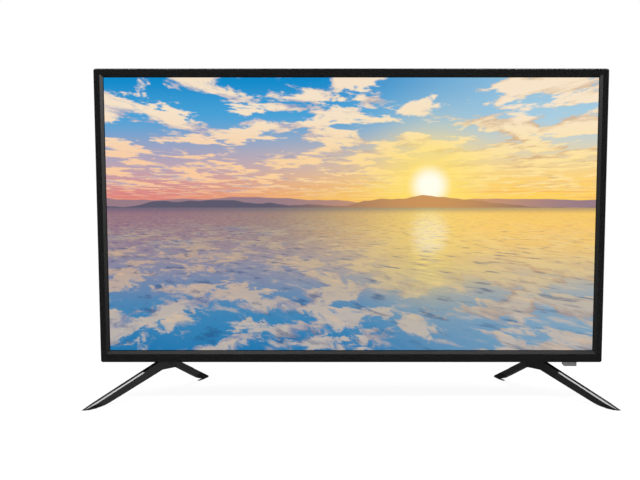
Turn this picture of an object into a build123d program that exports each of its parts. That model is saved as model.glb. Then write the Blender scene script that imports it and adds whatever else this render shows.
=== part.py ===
from build123d import *
import os
from math import atan2, cos, degrees, hypot, sin

# A flat screen television of the 32 inch class on two slim black legs.
# Lengths are millimetres. X runs to the viewer's right, Y to the back and Z up.
# The origin is on the surface that the legs stand on, under the middle of the stance.
# A depth is measured back from the front face of the bezel.

# The picture and the frame around it
PICTURE_WIDTH = 697.7
PICTURE_HEIGHT = 392.3
BLACK_BORDER = 1.0
SIDE_BEZEL = 12.6
TOP_BEZEL = 11.5
BOTTOM_BEZEL = 16.2
BEZEL_DEPTH = 13.0
BEZEL_WALL = 2.0
BEZEL_CORNER = 3.0
BEZEL_EDGE_ROUND = 0.8
BEVEL_WIDTH = 4.2
BEVEL_DEPTH = 3.2
BEVEL_LAND = 0.3
BEVEL_BACKING = 1.3

# Where the cabinet stands over its legs
CABINET_LIFT = 52.5
FACE_AHEAD = 23.0
STANCE_DEPTH = 194.0

# Clearances and overruns
FIT = 0.4
RUNNING_FIT = 0.3
SCREW_FIT = 0.15
OVERRUN = 5.0
FAR_AWAY = 900.0

# The optical stack, front to back
GASKET_THICKNESS = 0.4
GASKET_WIDTH = 1.4
CELL_THICKNESS = 1.4
CELL_MARGIN = 3.2
CELL_SOURCE_MARGIN = 1.3
LEDGE_THICKNESS = 1.5
LEDGE_MARGIN = 1.2
PANEL_FRAME_WALL = 1.4
FILM_PLAY = 0.2
FILM_THICKNESS = 0.25
DIFFUSER_THICKNESS = 1.5
REFLECTOR_THICKNESS = 0.3
REFLECTOR_MARGIN = 0.6
REFLECTOR_SLOPE = 24.0
LED_BAR_THICKNESS = 1.0
LED_BAR_WIDTH = 14.0
LED_BAR_MARGIN = 38.0
LED_BARS = 2
LEDS_PER_BAR = 6
LENS_RADIUS = 7.5
LENS_TOP_RADIUS = 4.5
LENS_HEIGHT = 5.0
LENS_WINDOW_GAP = 1.0
POST_FOOT_RADIUS = 3.0
POST_TIP_RADIUS = 0.9
POST_COLUMNS = 3

# The pressed steel pan behind the light
PAN_DEPTH = 20.0
PAN_SHEET = 0.8
PAN_GAP = 0.35
BEAD_HEIGHT = 1.6
BEAD_WIDTH = 12.0
BEAD_INSET = 30.0
BOARD_STANDOFF = 8.0
STANDOFF_RADIUS = 3.5
SCREW_PILOT_RADIUS = 1.35
PILOT_FLOOR = 1.5

# The rear cover
COVER_WALL = 2.2
COVER_STEP = 1.0
COVER_CORNER = 6.0
THIN_BACK = 36.0
THIN_TAPER = 20.0
LIP_THICKNESS = 1.6
LIP_LENGTH = 5.0
FORM_START = 28.0
BAR_INSET = 60.0
BAR_BACK = 66.0
BAR_HEIGHT = 66.5
BAR_TAPER = 13.0
BLOCK_HALF = 206.0
BLOCK_BACK = 78.0
BLOCK_HEIGHT = 278.5
BLOCK_TAPER = 24.0
FORM_CHAMFER = 3.0
VENT_WIDTH = 3.2
VENT_PITCH = 9.0
VENT_LENGTH = 24.0
VENT_MARGIN = 18.0
SOUND_SLOT_WIDTH = 2.6
SOUND_SLOT_PITCH = 6.0
SOUND_SLOT_LENGTH = 18.0

# The wall-mount posts, on a 100 mm square of M4 threads
WALL_MOUNT_PITCH = 100.0
WALL_MOUNT_HEIGHT = 182.0
WALL_THREAD_RADIUS = 2.0
WALL_THREAD_LENGTH = 16.0
WALL_POST_RADIUS = 5.0
WALL_POST_SHOULDER = 7.0

# The boards
BOARD_THICKNESS = 1.6
BOARD_GAP = 0.6
BOARD_POST_GAP = 5.0
BOARD_TOP_GAP = 3.0
BOARD_HOLE_INSET = 7.0
POWER_BOARD_RISE = 22.0
SOCKET_GAP = 4.6
SOCKET_MARGIN = 3.0
SOCKET_FIT = 0.4
COLLAR_PROUD = 0.4
SOCKET_WALL = 0.5
HDMI_WIDTH = 15.0
HDMI_HEIGHT = 6.0
HDMI_LENGTH = 12.0
HDMI_CHAMFER = 1.4
HDMI_TONGUE = 0.9
USB_WIDTH = 13.2
USB_HEIGHT = 6.2
USB_LENGTH = 14.0
USB_TONGUE = 1.9
OPTICAL_WIDTH = 10.0
OPTICAL_HEIGHT = 10.0
OPTICAL_LENGTH = 13.0
OPTICAL_MOUTH = 5.4
OPTICAL_MOUTH_DEPTH = 9.0
PHONE_WIDTH = 9.0
PHONE_HEIGHT = 8.0
PHONE_LENGTH = 14.0
PHONE_BORE = 1.8
PHONE_BORE_DEPTH = 12.0
PHONE_COLLAR_RADIUS = 3.6
AV_PITCH = 12.0
AV_HEIGHT = 12.5
AV_LENGTH = 11.0
AV_BARREL_RADIUS = 4.15
AV_COLLAR_RADIUS = 4.9
AV_BARREL_LENGTH = 9.0
AV_BORE = 1.6
AV_BORE_DEPTH = 8.0
AV_JACKS = 3
TUNER_WIDTH = 40.0
TUNER_HEIGHT = 13.0
TUNER_LENGTH = 44.0
TUNER_STUD_RADIUS = 4.75
TUNER_COLLAR_RADIUS = 5.6
TUNER_STUD_LENGTH = 11.0
TUNER_BORE = 1.5
TUNER_BORE_DEPTH = 9.0
CHIP_SIDE = 27.0
CHIP_THICKNESS = 1.4
SINK_SIDE = 40.0
SINK_BASE = 2.0
SINK_FIN = 1.2
SINK_FINS = 7
SINK_HEIGHT = 10.0

# The power board's parts
INLET_WIDTH = 22.0
INLET_HEIGHT = 13.0
INLET_LENGTH = 20.0
INLET_PIN_PITCH = 8.6
INLET_PIN_RADIUS = 1.2
INLET_LOBE_RADIUS = 4.3
INLET_WELL = 14.0
INLET_PIN_RECESS = 2.5
TRANSFORMER_WIDTH = 32.0
TRANSFORMER_LENGTH = 34.0
TRANSFORMER_HEIGHT = 24.0
TRANSFORMER_CORE = 9.0
TRANSFORMER_LEAD = 3.0
CAPACITOR_RADIUS = 11.0
CAPACITOR_HEIGHT = 30.0
CAPACITOR_RISE = 14.0
CAPACITOR_GROOVE = 0.8
CAPACITOR_GROOVE_SET = 3.5
CHOKE_RADIUS = 11.0
CHOKE_BORE = 5.5
CHOKE_HEIGHT = 9.0
PLATE_SINK_LENGTH = 44.0
PLATE_SINK_HEIGHT = 24.0
PLATE_SINK_THICKNESS = 2.0
PLATE_SINK_FOOT = 8.0
PLATE_SINK_PITCH = 24.0
PART_GAP = 6.0

# The receiver window, key and their board, under the right of the cabinet
WINDOW_INSET = 46.0
WINDOW_WIDTH = 20.6
WINDOW_DROP = 6.6
WINDOW_FRONT = 3.8
WINDOW_DEPTH = 7.0
WINDOW_CHAMFER = 2.5
WINDOW_FLANGE = 1.5
WINDOW_FLANGE_THICKNESS = 1.4
KEY_BOARD_LENGTH = 40.0
KEY_BOARD_FRONT = 4.6
KEY_BOARD_BACK = 31.0
KEY_BOARD_THICKNESS = 1.2
KEY_BOARD_UNDER = 1.2
KEY_HEADER_HEIGHT = 3.6
KEY_POST_SIDE = 3.0
KEY_POST_INSET = 3.0
KEY_POST_BACK = 1.5
KEY_DEPTH = 21.0
KEY_RADIUS = 3.6
KEY_FLANGE_RADIUS = 5.0
KEY_FLANGE_THICKNESS = 0.7
KEY_PROUD = 0.9
KEY_TRAVEL = 0.6
KEY_PLAY = 0.2
SWITCH_SIDE = 6.0
SWITCH_HEIGHT = 3.5
PLUNGER_RADIUS = 1.6
PLUNGER_REACH = 0.9
PLUNGER_INSIDE = 1.2
RECEIVER_WIDTH = 6.0
RECEIVER_HEIGHT = 4.2
RECEIVER_DEPTH = 4.0
RECEIVER_SET = 4.5
LED_RADIUS = 1.5
LED_HEIGHT = 4.0

# The speakers, which fire down through the cover's floor
SPEAKER_FROM_KNEE = 105.95
SPEAKER_DEPTH = 48.5
SPEAKER_BOX_LENGTH = 108.0
SPEAKER_BOX_WIDTH = 28.0
SPEAKER_BOX_HEIGHT = 44.0
SPEAKER_BOX_WALL = 1.6
SPEAKER_FLANGE_LENGTH = 78.0
SPEAKER_FLANGE_WIDTH = 24.0
SPEAKER_FLANGE_THICKNESS = 1.4
SPEAKER_MOUTH_LENGTH = 66.0
SPEAKER_MOUTH_WIDTH = 17.2
BASKET_HEIGHT = 8.6
BASKET_WALL = 1.2
BASKET_BAND = 2.4
BASKET_WINDOW = 14.0
BASKET_WINDOW_PLACE = 22.0
MAGNET_RADIUS = 9.0
MAGNET_BORE = 6.4
MAGNET_HEIGHT = 7.0
YOKE_THICKNESS = 1.5
POLE_RADIUS = 4.2
CONE_LENGTH = 60.0
CONE_WIDTH = 11.0
CONE_TOP_LENGTH = 22.0
CONE_TOP_WIDTH = 10.6
CONE_TRAVEL = 0.8
CONE_PLAY = 1.9
CONE_THICKNESS = 0.6
COIL_RADIUS = 5.7
COIL_WALL = 0.7
COIL_HEIGHT = 7.5
SURROUND_THICKNESS = 0.5
SURROUND_LAP = 1.0

# The legs
KNEE_INSET = 96.5
KNEE_BEHIND = 43.0
FRONT_TOE_OUT = 109.0
BACK_TOE_IN = 44.0
ARM_TOP_WIDTH = 7.0
ARM_BASE_WIDTH = 10.0
ARM_HEIGHT = 12.8
FRONT_ARM_TOP = 56.4
FRONT_ARM_LOW = 35.5
FRONT_ARM_SHOULDER = 21.0
FRONT_TOE_TOP = 1.8
FRONT_TOE_LENGTH = 29.0
FRONT_HEEL_ROUND = 110.0
BACK_ARM_TOP = 49.5
BACK_ARM_LOW = 38.0
BACK_ARM_SHOULDER = 2.0
BACK_TOE_TOP = 4.0
BACK_TOE_LENGTH = 16.0
BACK_HEEL_ROUND = 40.0
TOE_TAPER = 46.0
TOE_TAPER_WIDTH = 11.0
TOE_TIP_WIDTH = 4.4
KNEE_WIDTH = 17.0
KNEE_LAP = 5.0
FACET_START = 56.0
FACET_SIZE = 1.4
HUB_LENGTH = 34.0
HUB_WIDTH = 28.0
HUB_THICKNESS = 5.5
HUB_CORNER = 5.0
LEG_SCREW_PITCH = 20.0
PAD_THICKNESS = 0.8
PAD_LENGTH = 15.0
PAD_WIDTH = 3.4
PAD_INSET = 7.0
BRACKET_LENGTH = 24.0
BRACKET_WIDTH = 30.0
BRACKET_THICKNESS = 1.6
BRACKET_BOSS_RADIUS = 4.2
BRACKET_BOSS_HEIGHT = 5.0

# Screws
LEG_SCREW_RADIUS = 1.9
LEG_SCREW_HEAD = 3.6
LEG_SCREW_HEAD_HEIGHT = 2.4
LEG_SCREW_LENGTH = 13.0
COVER_SCREW_RADIUS = 1.2
COVER_SCREW_HEAD = 3.2
COVER_SCREW_HEAD_HEIGHT = 1.7
COVER_SCREW_LENGTH = 5.0
COVER_WELL_RADIUS = 4.2
COVER_WELL_DEPTH = 2.2
COVER_BOSS_RADIUS = 6.0
COVER_SCREW_INSET = 28.0
TOP_SCREW_SHARE = 1 / 3
BOARD_SCREW_HEAD = 3.0
BOARD_SCREW_HEAD_HEIGHT = 1.8
BOARD_SCREW_LENGTH = 6.5

# The driver films and boards at the panel's lower edge
SOURCE_BOARD_INSET = 45.85
SOURCE_BOARD_GAP = 26.0
SOURCE_BOARD_FRONT = 12.5
SOURCE_BOARD_BACK = 25.5
SOURCE_BOARD_THICKNESS = 1.2
DRIVER_FILM_WIDTH = 24.0
DRIVER_FILM_THICKNESS = 0.2
DRIVER_FILMS_PER_BOARD = 3
DRIVER_FILM_DROP = 0.7
DRIVER_FILM_BEND = 0.6
DRIVER_FILM_LAP = 1.5

# Leads inside the cabinet
RIBBON_WIDTH = 26.0
RIBBON_THICKNESS = 0.6
RIBBON_BEND = 3.0
RIBBON_OFF_PAN = 2.2
LEAD_RADIUS = 1.6
LEAD_SIDES = 8
LEAD_BEND = 8.0
LEAD_RISE = 16.0
LEAD_DIP = 28.0
LEAD_LIFT = 4.8
BACKLIGHT_LEAD_RUN = 24.0
HEADER_SIDE = 6.0
HEADER_HEIGHT = 6.0
HEADER_PITCH = 12.0
HEADER_TOP_SET = 20.0

# Places that follow from the sizes above
FACE_Y = -FACE_AHEAD
WINDOW_HALF = PICTURE_WIDTH / 2 + BLACK_BORDER
OUTER_HALF = WINDOW_HALF + SIDE_BEZEL
OUTER_LOW = CABINET_LIFT
WINDOW_LOW = OUTER_LOW + BOTTOM_BEZEL
PICTURE_LOW = WINDOW_LOW + BLACK_BORDER
PICTURE_HIGH = PICTURE_LOW + PICTURE_HEIGHT
WINDOW_HIGH = PICTURE_HIGH + BLACK_BORDER
OUTER_HIGH = WINDOW_HIGH + TOP_BEZEL
BEZEL_FLOOR = OUTER_LOW + BEZEL_WALL

LIP_BACK = BEVEL_DEPTH + BEVEL_LAND
CELL_FRONT = LIP_BACK + GASKET_THICKNESS
CELL_BACK = CELL_FRONT + CELL_THICKNESS
LEDGE_BACK = CELL_BACK + LEDGE_THICKNESS
BRIGHTNESS_FRONT = LEDGE_BACK + FILM_PLAY
PRISM_FRONT = BRIGHTNESS_FRONT + FILM_THICKNESS
DIFFUSER_FILM_FRONT = PRISM_FRONT + FILM_THICKNESS
DIFFUSER_FRONT = DIFFUSER_FILM_FRONT + FILM_THICKNESS
DIFFUSER_BACK = DIFFUSER_FRONT + DIFFUSER_THICKNESS
PAN_FRONT = DIFFUSER_BACK + REFLECTOR_THICKNESS
PAN_BACK = PAN_FRONT + PAN_DEPTH
PAN_FLOOR = PAN_BACK - PAN_SHEET
LED_BAR_FRONT = PAN_FLOOR - LED_BAR_THICKNESS
FRAME_MARGIN = CELL_MARGIN + FIT + PANEL_FRAME_WALL
PAN_INNER_MARGIN = REFLECTOR_MARGIN + REFLECTOR_THICKNESS + PAN_GAP
PAN_RAKE = REFLECTOR_SLOPE / (LED_BAR_FRONT - DIFFUSER_BACK)
PAN_OUTER_MARGIN = PAN_INNER_MARGIN + PAN_SHEET * hypot(1, PAN_RAKE)
FRAME_LOW = PICTURE_LOW - FRAME_MARGIN - CELL_SOURCE_MARGIN
PAN_LOW = PICTURE_LOW - PAN_OUTER_MARGIN

RIM_HALF = OUTER_HALF - COVER_STEP
COVER_LOW = OUTER_LOW + COVER_STEP
RIM_HIGH = OUTER_HIGH - COVER_STEP
COVER_FLOOR = COVER_LOW + COVER_WALL
THIN_HALF = RIM_HALF - THIN_TAPER
THIN_HIGH = RIM_HIGH - THIN_TAPER
THIN_INNER = THIN_BACK - COVER_WALL
BAR_HALF = OUTER_HALF - BAR_INSET
BAR_HIGH = COVER_LOW + BAR_HEIGHT
BLOCK_HIGH = COVER_LOW + BLOCK_HEIGHT

BOARD_FRONT = PAN_BACK + BOARD_STANDOFF
BOARD_BACK = BOARD_FRONT + BOARD_THICKNESS
BOARD_OUTER = BLOCK_HALF - COVER_WALL - BOARD_GAP
BOARD_INNER = WALL_MOUNT_PITCH / 2 + WALL_POST_SHOULDER + BOARD_POST_GAP
BOARD_HIGH = BLOCK_HIGH - BLOCK_TAPER - COVER_WALL - BOARD_TOP_GAP
WALL_MOUNT_Z = CABINET_LIFT + WALL_MOUNT_HEIGHT
WALL_MOUNT_PLACES = [
    (side * WALL_MOUNT_PITCH / 2, WALL_MOUNT_Z + rise * WALL_MOUNT_PITCH / 2)
    for side in (-1, 1)
    for rise in (-1, 1)
]


def socket_heights():
    """Stacks the sockets down the main board's edge and gives the height of each one's middle."""
    spans = {
        "hdmi_upper": HDMI_WIDTH,
        "hdmi_lower": HDMI_WIDTH,
        "usb": USB_WIDTH,
        "optical": OPTICAL_WIDTH,
        "phone": PHONE_WIDTH,
        "av": AV_JACKS * AV_PITCH,
        "tuner": TUNER_WIDTH,
    }
    heights = {}
    top = BOARD_HIGH - SOCKET_MARGIN
    for name, span in spans.items():
        heights[name] = top - span / 2
        top = top - span - SOCKET_GAP
    return heights


SOCKET_Z = socket_heights()
MAIN_LOW = SOCKET_Z["tuner"] - TUNER_WIDTH / 2 - SOCKET_MARGIN
POWER_LOW = MAIN_LOW + POWER_BOARD_RISE
INLET_Z = POWER_LOW + SOCKET_MARGIN + INLET_WIDTH / 2

WINDOW_X = OUTER_HALF - WINDOW_INSET
KEY_BOARD_LOW = FRAME_LOW - KEY_BOARD_UNDER - KEY_BOARD_THICKNESS
SWITCH_LOW = KEY_BOARD_LOW - SWITCH_HEIGHT
KEY_TOP = SWITCH_LOW - PLUNGER_REACH

SPEAKER_SEAT = COVER_FLOOR
FLANGE_TOP = SPEAKER_SEAT + SPEAKER_FLANGE_THICKNESS
CONE_LOW = FLANGE_TOP + SURROUND_THICKNESS
BASKET_TOP = FLANGE_TOP + BASKET_HEIGHT
CONE_HIGH = BASKET_TOP - BASKET_WALL - CONE_TRAVEL - CONE_PLAY

KNEE_X = OUTER_HALF - KNEE_INSET
KNEE_Y = FACE_Y + KNEE_BEHIND
HUB_LOW = COVER_LOW - HUB_THICKNESS
SPEAKER_PLACE = KNEE_X - SPEAKER_FROM_KNEE
SOURCE_BOARD_LENGTH = (PICTURE_WIDTH - SOURCE_BOARD_GAP) / 2 - SOURCE_BOARD_INSET
FRONT_RUN = (-FRONT_TOE_OUT, -STANCE_DEPTH / 2 - KNEE_Y)
BACK_RUN = (BACK_TOE_IN, STANCE_DEPTH / 2 - KNEE_Y)


# Helpers


def at_depth(depth):
    """The upright plane at a depth, with X to the right and Z up."""
    return Plane.XZ.offset(-(FACE_Y + depth))


def panel(depth, left, right, low, high, corner=0):
    """A rectangle, with rounded corners where asked, on the plane at a depth."""
    width, height = right - left, high - low
    shape = RectangleRounded(width, height, corner) if corner else Rectangle(width, height)
    return at_depth(depth) * Pos((left + right) / 2, (low + high) / 2) * shape


def slab(front, back, left, right, low, high, corner=0):
    """A plate between two depths."""
    return extrude(panel(front, left, right, low, high, corner), amount=front - back)


def around_picture(margin, more_below=0):
    """The left, right, low and high of a rectangle that stands clear of the picture by a margin."""
    half = PICTURE_WIDTH / 2 + margin
    return -half, half, PICTURE_LOW - margin - more_below, PICTURE_HIGH + margin


def tapered(corner, *sections):
    """A form lofted straight through rectangles, each given by depth, half width, low and high."""
    faces = [panel(depth, -half, half, low, high, corner) for depth, half, low, high in sections]
    return loft(faces, ruled=True)


def rod(front, back, x, z, radius):
    """A round bar along the depth."""
    return extrude(at_depth(front) * Pos(x, z) * Circle(radius), amount=front - back)


def cross_rod(left, right, depth, z, radius):
    """A round bar along the width."""
    return extrude(Plane.YZ.offset(left) * Pos(FACE_Y + depth, z) * Circle(radius), amount=right - left)


def upright(low, high, x, y, radius):
    """A round bar along the height."""
    return extrude(Plane.XY.offset(low) * Pos(x, y) * Circle(radius), amount=high - low)


def group(solids):
    """Several separate solids as one node."""
    return Compound([solid for shape in solids for solid in shape.solids()])


def evenly(count, low, high):
    """The middles of equal shares of a span."""
    step = (high - low) / count
    return [low + step * (index + 1 / 2) for index in range(count)]


# The bezel, the cell and the films


def inside_outline(inset):
    """The left, right, low and high of the cabinet's outline, moved in by an inset."""
    return -OUTER_HALF + inset, OUTER_HALF - inset, OUTER_LOW + inset, OUTER_HIGH - inset


def front_bezel():
    """The moulded frame: a bevelled window, a hollow back and a cut-out for the receiver window."""
    body = slab(0, BEZEL_DEPTH, *inside_outline(0), BEZEL_CORNER)
    body = fillet(body.faces().sort_by(Axis.Y)[0].edges(), BEZEL_EDGE_ROUND)
    inner_corner = BEZEL_CORNER - BEZEL_WALL
    relief = slab(BEZEL_WALL, BEZEL_DEPTH + OVERRUN, *inside_outline(BEZEL_WALL), inner_corner)
    backing = around_picture(BLACK_BORDER + BEVEL_WIDTH + BEVEL_BACKING)
    relief -= slab(0, LIP_BACK, *backing)
    grow = BEVEL_WIDTH / BEVEL_DEPTH
    window = (BEVEL_DEPTH, WINDOW_HALF, WINDOW_LOW, WINDOW_HIGH)
    spread = grow * (BEVEL_DEPTH + OVERRUN)
    mouth = (-OVERRUN, WINDOW_HALF + spread, WINDOW_LOW - spread, WINDOW_HIGH + spread)
    bevel = tapered(0, mouth, window)
    through = slab(0, LIP_BACK + OVERRUN, *around_picture(BLACK_BORDER))
    return body - relief - bevel - through - window_block(SOCKET_FIT)


def bezel_gasket():
    """The foam strip between the bezel's lip and the cell."""
    inner = BLACK_BORDER + BEVEL_LAND
    ring = slab(LIP_BACK, CELL_FRONT, *around_picture(inner + GASKET_WIDTH))
    return ring - slab(LIP_BACK, CELL_FRONT, *around_picture(inner))


def lcd_cell():
    """The two glass sheets and polarisers as one plate."""
    return slab(CELL_FRONT, CELL_BACK, *around_picture(CELL_MARGIN, CELL_SOURCE_MARGIN))


def driver_film_places():
    """The middle of each driver film along the width."""
    half = SOURCE_BOARD_GAP / 2
    right = evenly(DRIVER_FILMS_PER_BOARD, half, half + SOURCE_BOARD_LENGTH)
    return [side * place for side in (-1, 1) for place in right]


def cof_films():
    """The thin driver films, folded from the cell's lower edge under the frame to the boards."""
    cell_low = PICTURE_LOW - CELL_MARGIN - CELL_SOURCE_MARGIN
    start = FACE_Y + (CELL_FRONT + CELL_BACK) / 2
    low = FRAME_LOW - DRIVER_FILM_DROP
    end = FACE_Y + SOURCE_BOARD_FRONT + DRIVER_FILM_LAP
    board_low = PAN_LOW - SOURCE_BOARD_THICKNESS
    films = []
    for x in driver_film_places():
        points = [(x, start, cell_low), (x, start, low), (x, end, low), (x, end, board_low)]
        path = FilletPolyline(*points, radius=DRIVER_FILM_BEND)
        start_plane = Plane(points[0], x_dir=(1, 0, 0), z_dir=(0, 0, -1))
        section = start_plane * Rectangle(DRIVER_FILM_WIDTH, DRIVER_FILM_THICKNESS)
        films.append(sweep(section, path=path))
    return group(films)


def source_boards():
    """The two long boards under the pan that drive the cell's columns."""
    boards = []
    for side in (-1, 1):
        middle = side * (SOURCE_BOARD_GAP + SOURCE_BOARD_LENGTH) / 2
        left, right = middle - SOURCE_BOARD_LENGTH / 2, middle + SOURCE_BOARD_LENGTH / 2
        low = PAN_LOW - SOURCE_BOARD_THICKNESS
        boards.append(slab(SOURCE_BOARD_FRONT, SOURCE_BOARD_BACK, left, right, low, PAN_LOW))
    return group(boards)


def panel_frame():
    """The moulded frame with a ledge that the cell rests on, notched for the driver films."""
    front = CELL_FRONT + RUNNING_FIT
    body = slab(front, PAN_FRONT, *around_picture(FRAME_MARGIN, CELL_SOURCE_MARGIN))
    pocket = around_picture(CELL_MARGIN + FIT, CELL_SOURCE_MARGIN)
    body -= slab(front, CELL_BACK, *pocket)
    body -= slab(LEDGE_BACK, PAN_FRONT, *pocket)
    body -= slab(front, PAN_FRONT, *around_picture(LEDGE_MARGIN))
    notch_half = DRIVER_FILM_WIDTH / 2 + FIT
    notch_low, notch_high = FRAME_LOW - OVERRUN, FRAME_LOW + PANEL_FRAME_WALL + FIT
    for x in driver_film_places():
        body -= slab(front - OVERRUN, CELL_BACK, x - notch_half, x + notch_half, notch_low, notch_high)
    return body


def film(front):
    """One optical film."""
    return slab(front, front + FILM_THICKNESS, *around_picture(CELL_MARGIN, CELL_SOURCE_MARGIN))


def diffuser_plate():
    """The plate that spreads the light."""
    return slab(DIFFUSER_FRONT, DIFFUSER_BACK, *around_picture(CELL_MARGIN, CELL_SOURCE_MARGIN))


# The light behind the picture


def led_places():
    """The x and z of every LED."""
    columns = evenly(LEDS_PER_BAR, -PICTURE_WIDTH / 2, PICTURE_WIDTH / 2)
    return [(x, z) for z in evenly(LED_BARS, PICTURE_LOW, PICTURE_HIGH) for x in columns]


def post_places():
    """The x and z of every diffuser post, halfway up between the bars."""
    z = (PICTURE_LOW + PICTURE_HIGH) / 2
    return [(x, z) for x in evenly(POST_COLUMNS, -PICTURE_WIDTH / 2, PICTURE_WIDTH / 2)]


def reflector_tray():
    """The white sheet: a flat rim, sloping sides and a floor with a window for each lens."""
    floor_front = LED_BAR_FRONT - REFLECTOR_THICKNESS
    rim = slab(DIFFUSER_BACK, PAN_FRONT, *around_picture(CELL_MARGIN))
    outer = tray_form(LED_BAR_FRONT, REFLECTOR_MARGIN + REFLECTOR_THICKNESS)
    tray = rim + outer - tray_form(floor_front, REFLECTOR_MARGIN)
    front, back = floor_front - OVERRUN, LED_BAR_FRONT + OVERRUN
    for x, z in led_places():
        tray -= rod(front, back, x, z, LENS_RADIUS + LENS_WINDOW_GAP)
    for x, z in post_places():
        tray -= rod(front, back, x, z, POST_FOOT_RADIUS + LENS_WINDOW_GAP)
    return tray


def tray_form(back, margin):
    """The tray's outside or inside, its four sides sloping in to the floor."""
    half, low, high = PICTURE_WIDTH / 2 + margin, PICTURE_LOW - margin, PICTURE_HIGH + margin
    fall = REFLECTOR_SLOPE
    front_section = (DIFFUSER_BACK, half, low, high)
    return tapered(0, front_section, (back, half - fall, low + fall, high - fall))


def led_bars():
    """The long circuit strips that carry the LEDs."""
    half = PICTURE_WIDTH / 2 - LED_BAR_MARGIN
    return group(
        slab(LED_BAR_FRONT, PAN_FLOOR, -half, half, z - LED_BAR_WIDTH / 2, z + LED_BAR_WIDTH / 2)
        for z in evenly(LED_BARS, PICTURE_LOW, PICTURE_HIGH)
    )


def led_lenses():
    """The spreading lens over each LED."""
    lenses = []
    for x, z in led_places():
        base = at_depth(LED_BAR_FRONT) * Pos(x, z) * Circle(LENS_RADIUS)
        top = at_depth(LED_BAR_FRONT - LENS_HEIGHT) * Pos(x, z) * Circle(LENS_TOP_RADIUS)
        lenses.append(loft([base, top]))
    return group(lenses)


def diffuser_posts():
    """The cones that keep the diffuser plate off the lenses."""
    posts = []
    for x, z in post_places():
        foot = at_depth(PAN_FLOOR) * Pos(x, z) * Circle(POST_FOOT_RADIUS)
        tip = at_depth(DIFFUSER_BACK + RUNNING_FIT) * Pos(x, z) * Circle(POST_TIP_RADIUS)
        posts.append(loft([foot, tip]))
    return group(posts)


def screw_columns():
    """The two places along the width of the main board's screws."""
    return BOARD_INNER + BOARD_HOLE_INSET, BOARD_OUTER - TUNER_LENGTH - BOARD_HOLE_INSET


def board_hole_places():
    """The x and z of the screws that hold the two boards."""
    columns = screw_columns()
    top = BOARD_HIGH - BOARD_HOLE_INSET
    main = [(x, z) for x in columns for z in (MAIN_LOW + BOARD_HOLE_INSET, top)]
    power = [(-x, z) for x in columns for z in (POWER_LOW + BOARD_HOLE_INSET, top)]
    return main + power


def cover_screw_places():
    """The x and z of the screws round the cover's thin part, clear of the block and the bar."""
    side = THIN_HALF - COVER_SCREW_INSET
    top = THIN_HIGH - COVER_SCREW_INSET
    low = BAR_HIGH + COVER_SCREW_INSET
    middle = (top + low) / 2
    inner = side * TOP_SCREW_SHARE
    right = [(side, top), (inner, top), (side, middle), (side, low)]
    return [(sign * x, z) for sign in (-1, 1) for x, z in right]


def pan_form(front, back, margin):
    """The pan's outside or inside: its sides and top slope in to the floor, its bottom stays level."""
    half, high, low = PICTURE_WIDTH / 2 + margin, PICTURE_HIGH + margin, PICTURE_LOW - margin
    fall = PAN_RAKE * (back - front)
    return tapered(0, (front, half, low, high), (back, half - fall, low, high - fall))


def backlight_chassis():
    """The steel pan, with its flange, pressed bead, stand-offs for the boards and screw studs."""
    pan = pan_form(PAN_FRONT, PAN_BACK, PAN_OUTER_MARGIN)
    pan += slab(PAN_FRONT, PAN_FRONT + PAN_SHEET, *around_picture(FRAME_MARGIN, CELL_SOURCE_MARGIN))
    half = PICTURE_WIDTH / 2 - PAN_RAKE * PAN_DEPTH - BEAD_INSET
    high = PICTURE_HIGH - PAN_RAKE * PAN_DEPTH - BEAD_INSET
    pan += slab(PAN_FLOOR, PAN_BACK + BEAD_HEIGHT, -half, half, high - BEAD_WIDTH, high)
    pan -= pan_form(PAN_FRONT, PAN_FLOOR, PAN_INNER_MARGIN)
    hollow = half - PAN_SHEET
    bead_floor = PAN_BACK + BEAD_HEIGHT - PAN_SHEET
    pan -= slab(PAN_FLOOR, bead_floor, -hollow, hollow, high - BEAD_WIDTH + PAN_SHEET, high - PAN_SHEET)
    for x, z in board_hole_places():
        pan += rod(PAN_BACK, BOARD_FRONT, x, z, STANDOFF_RADIUS)
        pan -= rod(PAN_BACK + PILOT_FLOOR, BOARD_FRONT, x, z, SCREW_PILOT_RADIUS)
    stud_back = THIN_INNER - COVER_WELL_DEPTH
    for x, z in cover_screw_places():
        pan += rod(PAN_BACK, stud_back, x, z, STANDOFF_RADIUS)
        pan -= rod(PAN_FLOOR, stud_back, x, z, SCREW_PILOT_RADIUS)
    return pan


def vesa_posts():
    """The threaded posts from the pan to the outside of the cover."""
    posts = []
    for x, z in WALL_MOUNT_PLACES:
        post = rod(PAN_BACK, BLOCK_BACK - COVER_WALL, x, z, WALL_POST_SHOULDER)
        post += rod(BLOCK_BACK - COVER_WALL, BLOCK_BACK, x, z, WALL_POST_RADIUS)
        posts.append(post - rod(BLOCK_BACK - WALL_THREAD_LENGTH, BLOCK_BACK, x, z, WALL_THREAD_RADIUS))
    return group(posts)


# The main board and its sockets


def on_board(left, right, middle_z, width, height):
    """A box that stands on the back of a board, with its width along Z and its height to the back."""
    return slab(BOARD_BACK, BOARD_BACK + height, left, right, middle_z - width / 2, middle_z + width / 2)


def board(left, right, low, places):
    """A circuit board with its screw holes."""
    plate = slab(BOARD_FRONT, BOARD_BACK, left, right, low, BOARD_HIGH)
    for x, z in places:
        if left < x < right:
            plate -= rod(BOARD_FRONT, BOARD_BACK, x, z, SCREW_PILOT_RADIUS + SCREW_FIT)
    return plate


def chip_place():
    """The x and z of the main processor."""
    return BOARD_INNER + SINK_SIDE, (BOARD_HIGH + MAIN_LOW) / 2


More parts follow.
